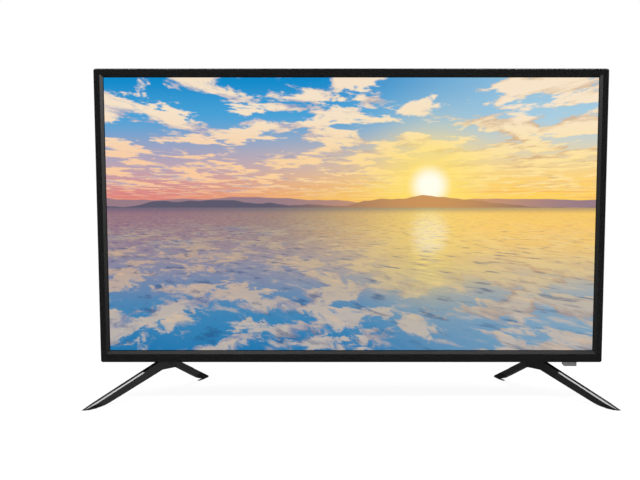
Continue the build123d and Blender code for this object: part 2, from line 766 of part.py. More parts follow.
def main_board():
    """The signal board with its processor and lead headers."""
    plate = board(BOARD_INNER, BOARD_OUTER, MAIN_LOW, board_hole_places())
    x, z = chip_place()
    plate += on_board(x - CHIP_SIDE / 2, x + CHIP_SIDE / 2, z, CHIP_SIDE, CHIP_THICKNESS)
    for left, height in main_headers():
        plate += on_board(left, left + HEADER_SIDE, height, HEADER_SIDE, HEADER_HEIGHT)
    return plate


def main_headers():
    """The left side and middle height of the left, right, power and key headers on the main board."""
    first = (sum(screw_columns()) - HEADER_SIDE) / 2 - HEADER_PITCH
    row = [(first + HEADER_PITCH * place, MAIN_LOW + HEADER_SIDE) for place in range(3)]
    power = (BOARD_INNER + HEADER_SIDE, BOARD_HIGH - HEADER_TOP_SET)
    return [row[0], row[2], power, row[1]]


def main_heatsink():
    """The finned block on the processor."""
    x, z = chip_place()
    seat = BOARD_BACK + CHIP_THICKNESS
    half, root = SINK_SIDE / 2, seat + SINK_BASE
    sink = slab(seat, root, x - half, x + half, z - half, z + half)
    for place in evenly(SINK_FINS, x - half, x + half):
        left, right = place - SINK_FIN / 2, place + SINK_FIN / 2
        sink += slab(root, seat + SINK_HEIGHT, left, right, z - half, z + half)
    return sink


def hdmi_socket(z):
    """One sheet-metal socket with bevelled lower corners and a tongue inside."""
    half, top = HDMI_WIDTH / 2, BOARD_BACK + HDMI_HEIGHT

    def outline(inset):
        points = [
            (FACE_Y + BOARD_BACK + inset, z - half + HDMI_CHAMFER),
            (FACE_Y + BOARD_BACK + inset, z + half - HDMI_CHAMFER),
            (FACE_Y + BOARD_BACK + HDMI_CHAMFER, z + half - inset),
            (FACE_Y + top - inset, z + half - inset),
            (FACE_Y + top - inset, z - half + inset),
            (FACE_Y + BOARD_BACK + HDMI_CHAMFER, z - half + inset),
        ]
        return make_face(Polyline(*points, close=True))

    back = BLOCK_HALF - HDMI_LENGTH
    shell = extrude(Plane.YZ.offset(back) * outline(0), amount=HDMI_LENGTH)
    shell -= extrude(Plane.YZ.offset(back + SOCKET_WALL) * outline(SOCKET_WALL), amount=HDMI_LENGTH)
    tongue_front = BOARD_BACK + (HDMI_HEIGHT - HDMI_TONGUE) / 2
    low, high = z - half + HDMI_CHAMFER * 2, z + half - HDMI_CHAMFER * 2
    end = BLOCK_HALF - HDMI_CHAMFER
    return shell + slab(tongue_front, tongue_front + HDMI_TONGUE, back, end, low, high)


def hdmi_sockets():
    """The two HDMI sockets."""
    return group([hdmi_socket(SOCKET_Z["hdmi_upper"]), hdmi_socket(SOCKET_Z["hdmi_lower"])])


def usb_socket():
    """The USB socket, a sheet-metal box with a thick tongue against one side."""
    z, inside = SOCKET_Z["usb"], BLOCK_HALF - USB_LENGTH
    shell = on_board(inside, BLOCK_HALF, z, USB_WIDTH, USB_HEIGHT)
    half = USB_WIDTH / 2 - SOCKET_WALL
    front, back = BOARD_BACK + SOCKET_WALL, BOARD_BACK + USB_HEIGHT - SOCKET_WALL
    shell -= slab(front, back, inside + SOCKET_WALL, BLOCK_HALF, z - half, z + half)
    tongue_half = half - SOCKET_WALL
    tongue_front = front + SOCKET_WALL
    tongue_back = tongue_front + USB_TONGUE
    end = BLOCK_HALF - SOCKET_WALL
    return shell + slab(tongue_front, tongue_back, inside, end, z - tongue_half, z + tongue_half)


def optical_socket():
    """The square optical socket."""
    z = SOCKET_Z["optical"]
    body = on_board(BLOCK_HALF - OPTICAL_LENGTH, BLOCK_HALF, z, OPTICAL_WIDTH, OPTICAL_HEIGHT)
    middle, half = BOARD_BACK + OPTICAL_HEIGHT / 2, OPTICAL_MOUTH / 2
    inside = BLOCK_HALF - OPTICAL_MOUTH_DEPTH
    return body - slab(middle - half, middle + half, inside, BLOCK_HALF, z - half, z + half)


def headphone_jack():
    """The headphone jack, a block with a round collar and bore."""
    z, middle = SOCKET_Z["phone"], BOARD_BACK + PHONE_HEIGHT / 2
    face = BLOCK_HALF - COVER_WALL
    body = on_board(BLOCK_HALF - PHONE_LENGTH, face, z, PHONE_WIDTH, PHONE_HEIGHT)
    body += cross_rod(face, BLOCK_HALF, middle, z, PHONE_COLLAR_RADIUS)
    return body - cross_rod(BLOCK_HALF - PHONE_BORE_DEPTH, BLOCK_HALF, middle, z, PHONE_BORE)


def av_places():
    """The height of each AV jack."""
    half = AV_JACKS * AV_PITCH / 2
    return evenly(AV_JACKS, SOCKET_Z["av"] - half, SOCKET_Z["av"] + half)


def av_jacks():
    """The round AV jacks on one block."""
    middle = BOARD_BACK + AV_HEIGHT / 2
    inside = BLOCK_HALF - COVER_WALL
    body = on_board(inside - AV_LENGTH, inside, SOCKET_Z["av"], AV_JACKS * AV_PITCH, AV_HEIGHT)
    end = BLOCK_HALF + AV_BARREL_LENGTH
    for z in av_places():
        body += cross_rod(inside, BLOCK_HALF + COLLAR_PROUD, middle, z, AV_COLLAR_RADIUS)
        body += cross_rod(BLOCK_HALF, end, middle, z, AV_BARREL_RADIUS)
    for z in av_places():
        body -= cross_rod(end - AV_BORE_DEPTH, end, middle, z, AV_BORE)
    return body


def tuner():
    """The screened tuner can and its aerial stud."""
    z, middle = SOCKET_Z["tuner"], BOARD_BACK + TUNER_HEIGHT / 2
    inside = BLOCK_HALF - COVER_WALL - BOARD_GAP
    body = on_board(inside - TUNER_LENGTH, inside, z, TUNER_WIDTH, TUNER_HEIGHT)
    end = BLOCK_HALF + TUNER_STUD_LENGTH
    body += cross_rod(inside, BLOCK_HALF + COLLAR_PROUD, middle, z, TUNER_COLLAR_RADIUS)
    body += cross_rod(BLOCK_HALF, end, middle, z, TUNER_STUD_RADIUS)
    return body - cross_rod(end - TUNER_BORE_DEPTH, end, middle, z, TUNER_BORE)


# The power board and its parts


def power_board():
    """The mains board with its lead headers."""
    plate = board(-BOARD_OUTER, -BOARD_INNER, POWER_LOW, board_hole_places())
    for left, height in power_headers():
        plate += on_board(left, left + HEADER_SIDE, height, HEADER_SIDE, HEADER_HEIGHT)
    return plate


def power_headers():
    """The left side and middle height of each lead header on the power board."""
    left, height = -BOARD_INNER - HEADER_PITCH, BOARD_HIGH - HEADER_TOP_SET
    return [(left, height), (left - 2 * HEADER_PITCH, height + HEADER_PITCH)]


def inlet_outline(radius):
    """The figure of eight of a two-pin mains inlet, upright on its plane."""
    lobes = [Pos(0, sign * INLET_PIN_PITCH / 2) * Circle(radius) for sign in (-1, 1)]
    return Rectangle(2 * radius, INLET_PIN_PITCH) + lobes


def ac_inlet():
    """The two-pin mains inlet, open at the left of the block."""
    middle = BOARD_BACK + INLET_HEIGHT / 2
    body = on_board(-BLOCK_HALF, -BLOCK_HALF + INLET_LENGTH, INLET_Z, INLET_WIDTH, INLET_HEIGHT)
    at_mouth = Plane.YZ.offset(-BLOCK_HALF) * Pos(FACE_Y + middle, INLET_Z)
    body -= extrude(at_mouth * inlet_outline(INLET_LOBE_RADIUS), amount=INLET_WELL)
    left, right = -BLOCK_HALF + INLET_PIN_RECESS, -BLOCK_HALF + INLET_WELL
    for sign in (-1, 1):
        z = INLET_Z + sign * INLET_PIN_PITCH / 2
        body += cross_rod(left, right, middle, z, INLET_PIN_RADIUS)
    return body


def power_transformer():
    """The ferrite core with its winding."""
    x = -(BOARD_INNER + TRANSFORMER_WIDTH)
    z = (POWER_LOW + BOARD_HIGH) / 2
    half = TRANSFORMER_WIDTH / 2
    core = on_board(x - half, x + half, z, TRANSFORMER_CORE, TRANSFORMER_HEIGHT)
    reach = half - TRANSFORMER_LEAD
    low, high = z - TRANSFORMER_LENGTH / 2, z + TRANSFORMER_LENGTH / 2
    front = BOARD_BACK + TRANSFORMER_LEAD
    back = BOARD_BACK + TRANSFORMER_HEIGHT - TRANSFORMER_LEAD
    return core + slab(front, back, x - reach, x + reach, low, high, TRANSFORMER_LEAD)


def bulk_capacitor():
    """The large can capacitor, with the groove near its foot."""
    x = -(BOARD_INNER + CAPACITOR_RADIUS + PART_GAP)
    z = POWER_LOW + CAPACITOR_RADIUS + CAPACITOR_RISE
    can = rod(BOARD_BACK, BOARD_BACK + CAPACITOR_HEIGHT, x, z, CAPACITOR_RADIUS)
    groove = BOARD_BACK + CAPACITOR_GROOVE_SET
    ring = rod(groove, groove + CAPACITOR_GROOVE, x, z, CAPACITOR_RADIUS)
    ring -= rod(groove, groove + CAPACITOR_GROOVE, x, z, CAPACITOR_RADIUS - CAPACITOR_GROOVE)
    return can - ring


def line_choke():
    """The wound ring beside the inlet."""
    x = -BLOCK_HALF + INLET_LENGTH + CHOKE_RADIUS + PART_GAP
    ring = rod(BOARD_BACK, BOARD_BACK + CHOKE_HEIGHT, x, INLET_Z, CHOKE_RADIUS)
    return ring - rod(BOARD_BACK, BOARD_BACK + CHOKE_HEIGHT, x, INLET_Z, CHOKE_BORE)


def power_heatsinks():
    """Two bent aluminium plates that stand on the power board."""
    sinks = []
    middle, back = (POWER_LOW + BOARD_HIGH) / 2, BOARD_BACK + PLATE_SINK_HEIGHT
    low, high = middle - PLATE_SINK_LENGTH / 2, middle + PLATE_SINK_LENGTH / 2
    first = -BOARD_OUTER + INLET_LENGTH
    for x in (first, first + PLATE_SINK_PITCH):
        plate = slab(BOARD_BACK, back, x, x + PLATE_SINK_THICKNESS, low, high)
        plate += slab(back - PLATE_SINK_THICKNESS, back, x, x + PLATE_SINK_FOOT, low, high)
        sinks.append(plate)
    return group(sinks)


# The receiver window, the key and their board


def window_block(grow=0):
    """The part of the receiver window that hangs through the bezel, larger by a clearance where asked."""
    half = WINDOW_WIDTH / 2 + grow
    left, right = WINDOW_X - half, WINDOW_X + half
    low, high = OUTER_LOW - WINDOW_DROP - grow, BEZEL_FLOOR + grow
    points = [
        (left, high),
        (left, low + WINDOW_CHAMFER),
        (left + WINDOW_CHAMFER, low),
        (right, low),
        (right, high),
    ]
    outline = at_depth(WINDOW_FRONT - grow) * make_face(Polyline(*points, close=True))
    return extrude(outline, amount=-(WINDOW_DEPTH + 2 * grow))


def ir_window():
    """The grey translucent window, with the flange that holds it on the bezel's floor."""
    half = WINDOW_WIDTH / 2 + WINDOW_FLANGE
    flange = slab(
        WINDOW_FRONT - SOCKET_FIT,
        WINDOW_FRONT + WINDOW_DEPTH + WINDOW_FLANGE,
        WINDOW_X - half,
        WINDOW_X + half,
        BEZEL_FLOOR,
        BEZEL_FLOOR + WINDOW_FLANGE_THICKNESS,
    )
    return window_block() + flange


def key_board_posts():
    """The x of the two posts that carry the key board."""
    reach = KEY_BOARD_LENGTH / 2 - KEY_POST_INSET
    return [WINDOW_X - reach, WINDOW_X + reach]


def key_board():
    """The small board over the receiver window and the key, with a header for its lead."""
    half = KEY_BOARD_LENGTH / 2
    left = WINDOW_X - half
    high = KEY_BOARD_LOW + KEY_BOARD_THICKNESS
    plate = slab(KEY_BOARD_FRONT, KEY_BOARD_BACK, left, WINDOW_X + half, KEY_BOARD_LOW, high)
    front = KEY_BOARD_BACK - HEADER_SIDE
    return plate + slab(front, KEY_BOARD_BACK, left, left + HEADER_SIDE, high, high + KEY_HEADER_HEIGHT)


def ir_receiver():
    """The infrared receiver under the key board, over the window."""
    half, x = RECEIVER_WIDTH / 2, WINDOW_X + RECEIVER_SET
    front, back = KEY_BOARD_FRONT, KEY_BOARD_FRONT + RECEIVER_DEPTH
    low = KEY_BOARD_LOW - RECEIVER_HEIGHT
    body = slab(front, back, x - half, x + half, low, KEY_BOARD_LOW)
    return body + upright(low - KEY_PLAY, low, x, FACE_Y + (front + back) / 2, LED_RADIUS)


def status_led():
    """The small lamp under the key board."""
    y = FACE_Y + WINDOW_FRONT + WINDOW_DEPTH / 2
    return upright(KEY_BOARD_LOW - LED_HEIGHT, KEY_BOARD_LOW, WINDOW_X - RECEIVER_SET, y, LED_RADIUS)


def tact_switch():
    """The small switch under the key board, bored for its plunger."""
    half, x, y = SWITCH_SIDE / 2, WINDOW_X, FACE_Y + KEY_DEPTH
    front, back = KEY_DEPTH - half, KEY_DEPTH + half
    body = slab(front, back, x - half, x + half, SWITCH_LOW, KEY_BOARD_LOW)
    bore_top = SWITCH_LOW + PLUNGER_INSIDE + KEY_TRAVEL + KEY_PLAY
    return body - upright(SWITCH_LOW, bore_top, x, y, PLUNGER_RADIUS + KEY_PLAY)


def switch_plunger():
    """The switch's plunger, which the key pushes up."""
    return upright(KEY_TOP, SWITCH_LOW + PLUNGER_INSIDE, WINDOW_X, FACE_Y + KEY_DEPTH, PLUNGER_RADIUS)


def power_key():
    """The round key in the cover's floor, with the flange that keeps it in."""
    y = FACE_Y + KEY_DEPTH
    key = upright(COVER_LOW - KEY_PROUD, KEY_TOP, WINDOW_X, y, KEY_RADIUS)
    return key + upright(KEY_TOP - KEY_FLANGE_THICKNESS, KEY_TOP, WINDOW_X, y, KEY_FLANGE_RADIUS)


# The speakers


def stadium(low, high, x, length, width):
    """An upright prism with a long round-ended outline."""
    return extrude(speaker_outline(low, x, length, width), amount=high - low)


def speaker_outline(height, x, length, width):
    """The long round-ended outline at a height, over a speaker's middle."""
    return Plane.XY.offset(height) * Pos(x, FACE_Y + SPEAKER_DEPTH) * SlotOverall(length, width)


def speaker_box(side):
    """The closed box round a driver, open at its floor for the driver's basket."""
    x, half = side * SPEAKER_PLACE, SPEAKER_BOX_LENGTH / 2
    front, back = SPEAKER_DEPTH - SPEAKER_BOX_WIDTH / 2, SPEAKER_DEPTH + SPEAKER_BOX_WIDTH / 2
    low, high = FLANGE_TOP, FLANGE_TOP + SPEAKER_BOX_HEIGHT
    wall = SPEAKER_BOX_WALL
    box = slab(front, back, x - half, x + half, low, high)
    box -= slab(front + wall, back - wall, x - half + wall, x + half - wall, low + wall, high - wall)
    return box - basket(low, low + wall, x, BASKET_WALL + FIT)


def basket(low, high, x, grow):
    """The room inside the driver's basket, larger all round by a wall or a clearance where asked."""
    return stadium(low, high, x, SPEAKER_MOUTH_LENGTH + 2 * grow, SPEAKER_MOUTH_WIDTH + 2 * grow)


def speaker_frame(side):
    """The driver's flange, basket with side windows and back plate."""
    x, ceiling = side * SPEAKER_PLACE, BASKET_TOP - BASKET_WALL
    frame = stadium(SPEAKER_SEAT, FLANGE_TOP, x, SPEAKER_FLANGE_LENGTH, SPEAKER_FLANGE_WIDTH)
    frame += basket(FLANGE_TOP, BASKET_TOP, x, BASKET_WALL)
    frame -= basket(SPEAKER_SEAT, ceiling, x, 0)
    frame -= upright(ceiling, BASKET_TOP, x, FACE_Y + SPEAKER_DEPTH, MAGNET_BORE)
    low, high = FLANGE_TOP + BASKET_BAND, BASKET_TOP - BASKET_BAND
    front, back = SPEAKER_DEPTH - SPEAKER_BOX_WIDTH / 2, SPEAKER_DEPTH + SPEAKER_BOX_WIDTH / 2
    for place in (x - BASKET_WINDOW_PLACE, x + BASKET_WINDOW_PLACE):
        frame -= slab(front, back, place - BASKET_WINDOW / 2, place + BASKET_WINDOW / 2, low, high)
    return frame


def speaker_magnet(side):
    """The magnet ring, yoke and pole piece as one assembly."""
    x, y = side * SPEAKER_PLACE, FACE_Y + SPEAKER_DEPTH
    top = BASKET_TOP + MAGNET_HEIGHT
    ring = upright(BASKET_TOP, top, x, y, MAGNET_RADIUS) - upright(BASKET_TOP, top, x, y, MAGNET_BORE)
    ring += upright(top, top + YOKE_THICKNESS, x, y, MAGNET_RADIUS)
    return ring + upright(BASKET_TOP - BASKET_WALL, top, x, y, POLE_RADIUS)


def cone_form(x, high, wall):
    """The cone's outside up to a height, or with a wall the room inside it."""
    wide = speaker_outline(CONE_LOW, x, CONE_LENGTH - 2 * wall, CONE_WIDTH - 2 * wall)
    narrow = speaker_outline(high, x, CONE_TOP_LENGTH, CONE_TOP_WIDTH - 2 * wall)
    return loft([wide, narrow], ruled=True)


def speaker_cone(side):
    """The moving cone with its cap and voice coil."""
    x, y = side * SPEAKER_PLACE, FACE_Y + SPEAKER_DEPTH
    ceiling = CONE_HIGH - CONE_THICKNESS
    cone = cone_form(x, CONE_HIGH, 0) - cone_form(x, ceiling, CONE_THICKNESS)
    coil_top = CONE_HIGH + COIL_HEIGHT
    coil = upright(ceiling, coil_top, x, y, COIL_RADIUS)
    return cone + coil - upright(CONE_HIGH, coil_top, x, y, COIL_RADIUS - COIL_WALL)


def speaker_surround(side):
    """The rubber ring between the cone and the basket."""
    x, lap = side * SPEAKER_PLACE, 2 * SURROUND_LAP
    ring = basket(FLANGE_TOP, CONE_LOW, x, 0)
    return ring - stadium(FLANGE_TOP, CONE_LOW, x, CONE_LENGTH - lap, CONE_WIDTH - lap)


# The rear cover


def cover_form(inset):
    """The three forms of the cover fused: its outside, or with an inset the room inside its walls."""
    corner = COVER_CORNER - inset
    low = COVER_LOW + inset
    thin = tapered(
        corner,
        (BEZEL_DEPTH, RIM_HALF - inset, low, RIM_HIGH - inset),
        (THIN_BACK - inset, THIN_HALF - inset, low, THIN_HIGH - inset),
    )
    bar_half, bar_high, bar_back = BAR_HALF - inset, BAR_HIGH - inset, BAR_BACK - inset
    near_back = FORM_CHAMFER * (BAR_HALF - BAR_TAPER) / BAR_HALF
    bar = tapered(
        corner,
        (FORM_START, bar_half, low, bar_high),
        (bar_back - FORM_CHAMFER, bar_half - BAR_TAPER, low, bar_high - BAR_TAPER),
        (bar_back, bar_half - BAR_TAPER - near_back, low, bar_high - BAR_TAPER - near_back),
    )
    half, high, back = BLOCK_HALF - inset, BLOCK_HIGH - inset, BLOCK_BACK - inset
    block = tapered(
        corner,
        (FORM_START, half, low, high),
        (back - FORM_CHAMFER, half, low, high - BLOCK_TAPER + FORM_CHAMFER),
        (back, half - FORM_CHAMFER, low, high - BLOCK_TAPER),
    )
    return thin + bar + block


def cover_lip():
    """The tongue that slides inside the bezel's wall, open where the receiver window sits."""
    front, back = BEZEL_DEPTH - LIP_LENGTH, BEZEL_DEPTH + COVER_WALL
    gap = BEZEL_WALL + RUNNING_FIT
    lip = slab(front, back, *inside_outline(gap)) - slab(front, back, *inside_outline(gap + LIP_THICKNESS))
    half = WINDOW_WIDTH / 2 + WINDOW_FLANGE + FIT
    high = BEZEL_FLOOR + LIP_LENGTH
    return lip - slab(front, BEZEL_DEPTH, WINDOW_X - half, WINDOW_X + half, OUTER_LOW, high)


def vent_cuts():
    """The slots across the block's sloping top."""
    back = BLOCK_BACK - FORM_CHAMFER - COVER_WALL * 2
    front = back - VENT_LENGTH
    run = BLOCK_HALF - VENT_MARGIN
    low, high = BOARD_HIGH + COVER_WALL, BLOCK_HIGH + OVERRUN
    count = int(2 * run / VENT_PITCH)
    return [
        slab(front, back, x - VENT_WIDTH / 2, x + VENT_WIDTH / 2, low, high)
        for x in evenly(count, -run, run)
    ]


def sound_cuts():
    """The slots in the cover's floor under each speaker."""
    run = SPEAKER_MOUTH_LENGTH / 2
    count = int(2 * run / SOUND_SLOT_PITCH)
    half = SOUND_SLOT_WIDTH / 2
    front, back = SPEAKER_DEPTH - SOUND_SLOT_LENGTH / 2, SPEAKER_DEPTH + SOUND_SLOT_LENGTH / 2
    cuts = []
    for middle in (-SPEAKER_PLACE, SPEAKER_PLACE):
        for x in evenly(count, middle - run, middle + run):
            cuts.append(slab(front, back, x - half, x + half, COVER_LOW - OVERRUN, COVER_FLOOR))
    return cuts


def socket_cuts():
    """The openings in the block's sides that the sockets come through."""
    cuts = [
        square_cut(SOCKET_Z["hdmi_upper"], HDMI_WIDTH, HDMI_HEIGHT),
        square_cut(SOCKET_Z["hdmi_lower"], HDMI_WIDTH, HDMI_HEIGHT),
        square_cut(SOCKET_Z["usb"], USB_WIDTH, USB_HEIGHT),
        square_cut(SOCKET_Z["optical"], OPTICAL_WIDTH, OPTICAL_HEIGHT),
        round_cut(SOCKET_Z["phone"], PHONE_HEIGHT, PHONE_COLLAR_RADIUS),
        round_cut(SOCKET_Z["tuner"], TUNER_HEIGHT, TUNER_COLLAR_RADIUS),
        mirror(square_cut(INLET_Z, INLET_WIDTH, INLET_HEIGHT), about=Plane.YZ),
    ]
    return cuts + [round_cut(z, AV_HEIGHT, AV_COLLAR_RADIUS) for z in av_places()]


def square_cut(z, width, height):
    """A square opening in the block's right wall, with play round its socket."""
    half = width / 2 + SOCKET_FIT
    front, back = BOARD_BACK - SOCKET_FIT, BOARD_BACK + height + SOCKET_FIT
    return slab(front, back, BLOCK_HALF - COVER_WALL, BLOCK_HALF, z - half, z + half)


def round_cut(z, height, radius):
    """A round opening in the block's right wall, with play round its socket."""
    left, middle = BLOCK_HALF - COVER_WALL, BOARD_BACK + height / 2
    return cross_rod(left, BLOCK_HALF, middle, z, radius + SOCKET_FIT)


def leg_screw_places():
    """The x and y of every leg screw."""
    angle = atan2(FRONT_RUN[1], FRONT_RUN[0])
    reach = LEG_SCREW_PITCH / 2
    left = [(-KNEE_X - sign * reach * sin(angle), KNEE_Y + sign * reach * cos(angle)) for sign in (-1, 1)]
    return left + [(-x, y) for x, y in left]


def rear_cover():
    """The moulded back: a thin rim, a bar over the legs and a deeper block over the boards."""
    cover = cover_form(0) - cover_form(COVER_WALL) + cover_lip()
    boss_front = THIN_INNER - COVER_WELL_DEPTH
    well_floor = THIN_BACK - COVER_WELL_DEPTH
    for x, z in cover_screw_places():
        cover += rod(boss_front, THIN_INNER, x, z, COVER_BOSS_RADIUS)
        cover -= rod(well_floor, THIN_BACK, x, z, COVER_WELL_RADIUS)
        cover -= rod(boss_front, well_floor, x, z, COVER_SCREW_RADIUS + RUNNING_FIT)
    for x, z in WALL_MOUNT_PLACES:
        cover -= rod(BLOCK_BACK - COVER_WALL, BLOCK_BACK, x, z, WALL_POST_RADIUS + RUNNING_FIT)
    post_back, half = KEY_BOARD_BACK - KEY_POST_BACK, KEY_POST_SIDE / 2
    for x in key_board_posts():
        cover += slab(post_back - KEY_POST_SIDE, post_back, x - half, x + half, COVER_FLOOR, KEY_BOARD_LOW)
    for x, y in leg_screw_places():
        cover -= upright(COVER_LOW, COVER_FLOOR, x, y, LEG_SCREW_RADIUS + SCREW_FIT)
    cover -= upright(COVER_LOW, COVER_FLOOR, WINDOW_X, FACE_Y + KEY_DEPTH, KEY_RADIUS + RUNNING_FIT)
    return cover - (socket_cuts() + sound_cuts() + vent_cuts())


# The legs


def arm(run, top, low, shoulder, toe_top, toe_length, heel_round, facet_side):
    """One arm of a leg, along +X from the knee: a sloping bar that thins and curves to its toe."""
    length = hypot(*run)
    reach = length + KNEE_LAP
    slope = (top - toe_top) / length
    heel = length - toe_length
    points = [
        (-KNEE_LAP, top + slope * KNEE_LAP),
        (reach, toe_top - slope * KNEE_LAP + PAD_THICKNESS),
        (reach, PAD_THICKNESS),
        (heel, PAD_THICKNESS),
        (shoulder, low),
        (-KNEE_LAP, low),
    ]
    profile = make_face(Polyline(*points, close=True))
    corner = profile.vertices().sort_by_distance((heel, PAD_THICKNESS, 0))[0]
    profile = fillet(corner, heel_round)
    body = extrude(Plane.XZ * profile, amount=HUB_WIDTH, both=True)
    return body & arm_section(length, top, slope, facet_side) & arm_plan(length, reach, top)


def arm_section(length, top, slope, facet_side):
    """The arm's cross-section, narrower at its top, drawn out along the slope of its top face."""
    flank = (ARM_BASE_WIDTH - ARM_TOP_WIDTH) / 2 / ARM_HEIGHT
    half, low_half = ARM_TOP_WIDTH / 2, ARM_TOP_WIDTH / 2 + flank * top
    start = Plane(origin=(0, 0, top), x_dir=(0, 1, 0), z_dir=(1, 0, -slope))
    corners = [(-half, 0), (half, 0), (low_half, -top), (-low_half, -top)]
    stretch = 2 * length
    bar = extrude(start.offset(-length / 2) * make_face(Polyline(*corners, close=True)), amount=stretch)
    edge = facet_side * half
    size = facet_side * FACET_SIZE
    facet = make_face(
        Polyline(
            (edge - size, 0),
            (edge + size * flank, -FACET_SIZE),
            (edge + 2 * size, -FACET_SIZE),
            (edge + 2 * size, FACET_SIZE),
            (edge - size, FACET_SIZE),
            close=True,
        )
    )
    return bar - extrude(start.offset(FACET_START) * facet, amount=stretch)


def arm_plan(length, reach, height):
    """The arm's outline from above, which narrows over the toe."""
    knee, taper, tip = KNEE_WIDTH / 2, TOE_TAPER_WIDTH / 2, TOE_TIP_WIDTH / 2
    points = [(-KNEE_LAP, knee), (length - TOE_TAPER, taper), (length, tip), (reach, tip)]
    mirrored = [(x, -y) for x, y in reversed(points)]
    outline = make_face(Polyline(*points, *mirrored, close=True))
    return extrude(outline, amount=height + KNEE_LAP)


def at_knee(run):
    """The place at the left knee, turned so that +X runs along an arm."""
    return Pos(-KNEE_X, KNEE_Y, 0) * Rot(0, 0, degrees(atan2(run[1], run[0])))


def leg_left():
    """The left leg: a long front arm, a short back arm and a flat hub under the cabinet."""
    front = arm(
        FRONT_RUN,
        FRONT_ARM_TOP,
        FRONT_ARM_LOW,
        FRONT_ARM_SHOULDER,
        FRONT_TOE_TOP,
        FRONT_TOE_LENGTH,
        FRONT_HEEL_ROUND,
        facet_side=1,
    )
    back = arm(
        BACK_RUN,
        BACK_ARM_TOP,
        BACK_ARM_LOW,
        BACK_ARM_SHOULDER,
        BACK_TOE_TOP,
        BACK_TOE_LENGTH,
        BACK_HEEL_ROUND,
        facet_side=-1,
    )
    hub_outline = Plane.XY.offset(HUB_LOW) * RectangleRounded(HUB_LENGTH, HUB_WIDTH, HUB_CORNER)
    hub = extrude(hub_outline, amount=HUB_THICKNESS)
    leg = at_knee(FRONT_RUN) * front + at_knee(BACK_RUN) * back + at_knee(FRONT_RUN) * hub
    room = Box(FAR_AWAY, STANCE_DEPTH, COVER_LOW, align=(Align.CENTER, Align.CENTER, Align.MIN))
    leg &= Pos(-KNEE_X, 0, 0) * room
    for x, y in leg_screw_places()[:2]:
        leg -= upright(HUB_LOW, COVER_LOW, x, y, LEG_SCREW_RADIUS + SCREW_FIT)
    return leg


def leg_right():
    """The right leg, the mirror of the left."""
    return mirror(leg_left(), about=Plane.YZ)


def foot_pads():
    """The rubber strips under the four toes."""
    pads = []
    for run in (FRONT_RUN, BACK_RUN):
        length = hypot(*run)
        middle = length - PAD_INSET - PAD_LENGTH / 2
        strip = Pos(middle, 0) * Rectangle(PAD_LENGTH, PAD_WIDTH)
        pads.append(at_knee(run) * extrude(strip, amount=PAD_THICKNESS))
    return group(pads + [mirror(pad, about=Plane.YZ) for pad in pads])


def leg_brackets():
    """The steel plates inside the cover, with threaded bosses for the leg screws."""
    outline = Plane.XY.offset(COVER_FLOOR) * Rectangle(BRACKET_LENGTH, BRACKET_WIDTH)
    left = at_knee(FRONT_RUN) * extrude(outline, amount=BRACKET_THICKNESS)
    top = COVER_FLOOR + BRACKET_THICKNESS + BRACKET_BOSS_HEIGHT
    for x, y in leg_screw_places()[:2]:
        left += upright(COVER_FLOOR, top, x, y, BRACKET_BOSS_RADIUS)
    for x, y in leg_screw_places()[:2]:
        left -= upright(COVER_FLOOR, top, x, y, LEG_SCREW_RADIUS + SCREW_FIT)
    return group([left, mirror(left, about=Plane.YZ)])


# Screws


def leg_screws():
    """The screws up through the hubs into the brackets."""
    screws = []
    for x, y in leg_screw_places():
        shank = upright(HUB_LOW, HUB_LOW + LEG_SCREW_LENGTH, x, y, LEG_SCREW_RADIUS)
        screws.append(shank + upright(HUB_LOW - LEG_SCREW_HEAD_HEIGHT, HUB_LOW, x, y, LEG_SCREW_HEAD))
    return group(screws)


def cover_screws():
    """The screws in the cover's wells."""
    seat = THIN_BACK - COVER_WELL_DEPTH
    screws = []
    for x, z in cover_screw_places():
        shank = rod(seat - COVER_SCREW_LENGTH, seat, x, z, COVER_SCREW_RADIUS)
        screws.append(shank + rod(seat, seat + COVER_SCREW_HEAD_HEIGHT, x, z, COVER_SCREW_HEAD))
    return group(screws)


def board_screws():
    """The screws that hold the boards to their stand-offs."""
    screws = []
    for x, z in board_hole_places():
        shank = rod(BOARD_BACK - BOARD_SCREW_LENGTH, BOARD_BACK, x, z, COVER_SCREW_RADIUS)
        screws.append(shank + rod(BOARD_BACK, BOARD_BACK + BOARD_SCREW_HEAD_HEIGHT, x, z, BOARD_SCREW_HEAD))
    return group(screws)


# Leads


def lead(points, bend=LEAD_BEND):
    """A lead along straight runs joined by arcs, starting square to its first run."""
    path = FilletPolyline(*points, radius=bend)
    start, following = Vector(*points[0]), Vector(*points[1])
    section = Plane(origin=start, z_dir=following - start) * RegularPolygon(LEAD_RADIUS, LEAD_SIDES)
    return sweep(section, path=path)


def panel_ribbon():
    """The flat lead from the main board down the pan's back and under it to the source board."""
    x = BOARD_INNER + RIBBON_WIDTH / 2 + HEADER_SIDE
    down = FACE_Y + PAN_BACK + RIBBON_OFF_PAN
    under = PAN_LOW - SOURCE_BOARD_THICKNESS - RIBBON_THICKNESS
    start = (x, FACE_Y + BOARD_FRONT, MAIN_LOW + RIBBON_BEND)
    points = [
        start,
        (x, down, MAIN_LOW + RIBBON_BEND),
        (x, down, under),
        (x, FACE_Y + SOURCE_BOARD_BACK - RIBBON_BEND, under),
    ]
    path = FilletPolyline(*points, radius=RIBBON_BEND)
    start_plane = Plane(origin=start, x_dir=(1, 0, 0), z_dir=(0, -1, 0))
    return sweep(start_plane * Rectangle(RIBBON_WIDTH, RIBBON_THICKNESS), path=path)


def header_top(header):
    """The middle of a header's top, where its lead starts."""
    left, z = header
    return left + HEADER_SIDE / 2, FACE_Y + BOARD_BACK + HEADER_HEIGHT, z


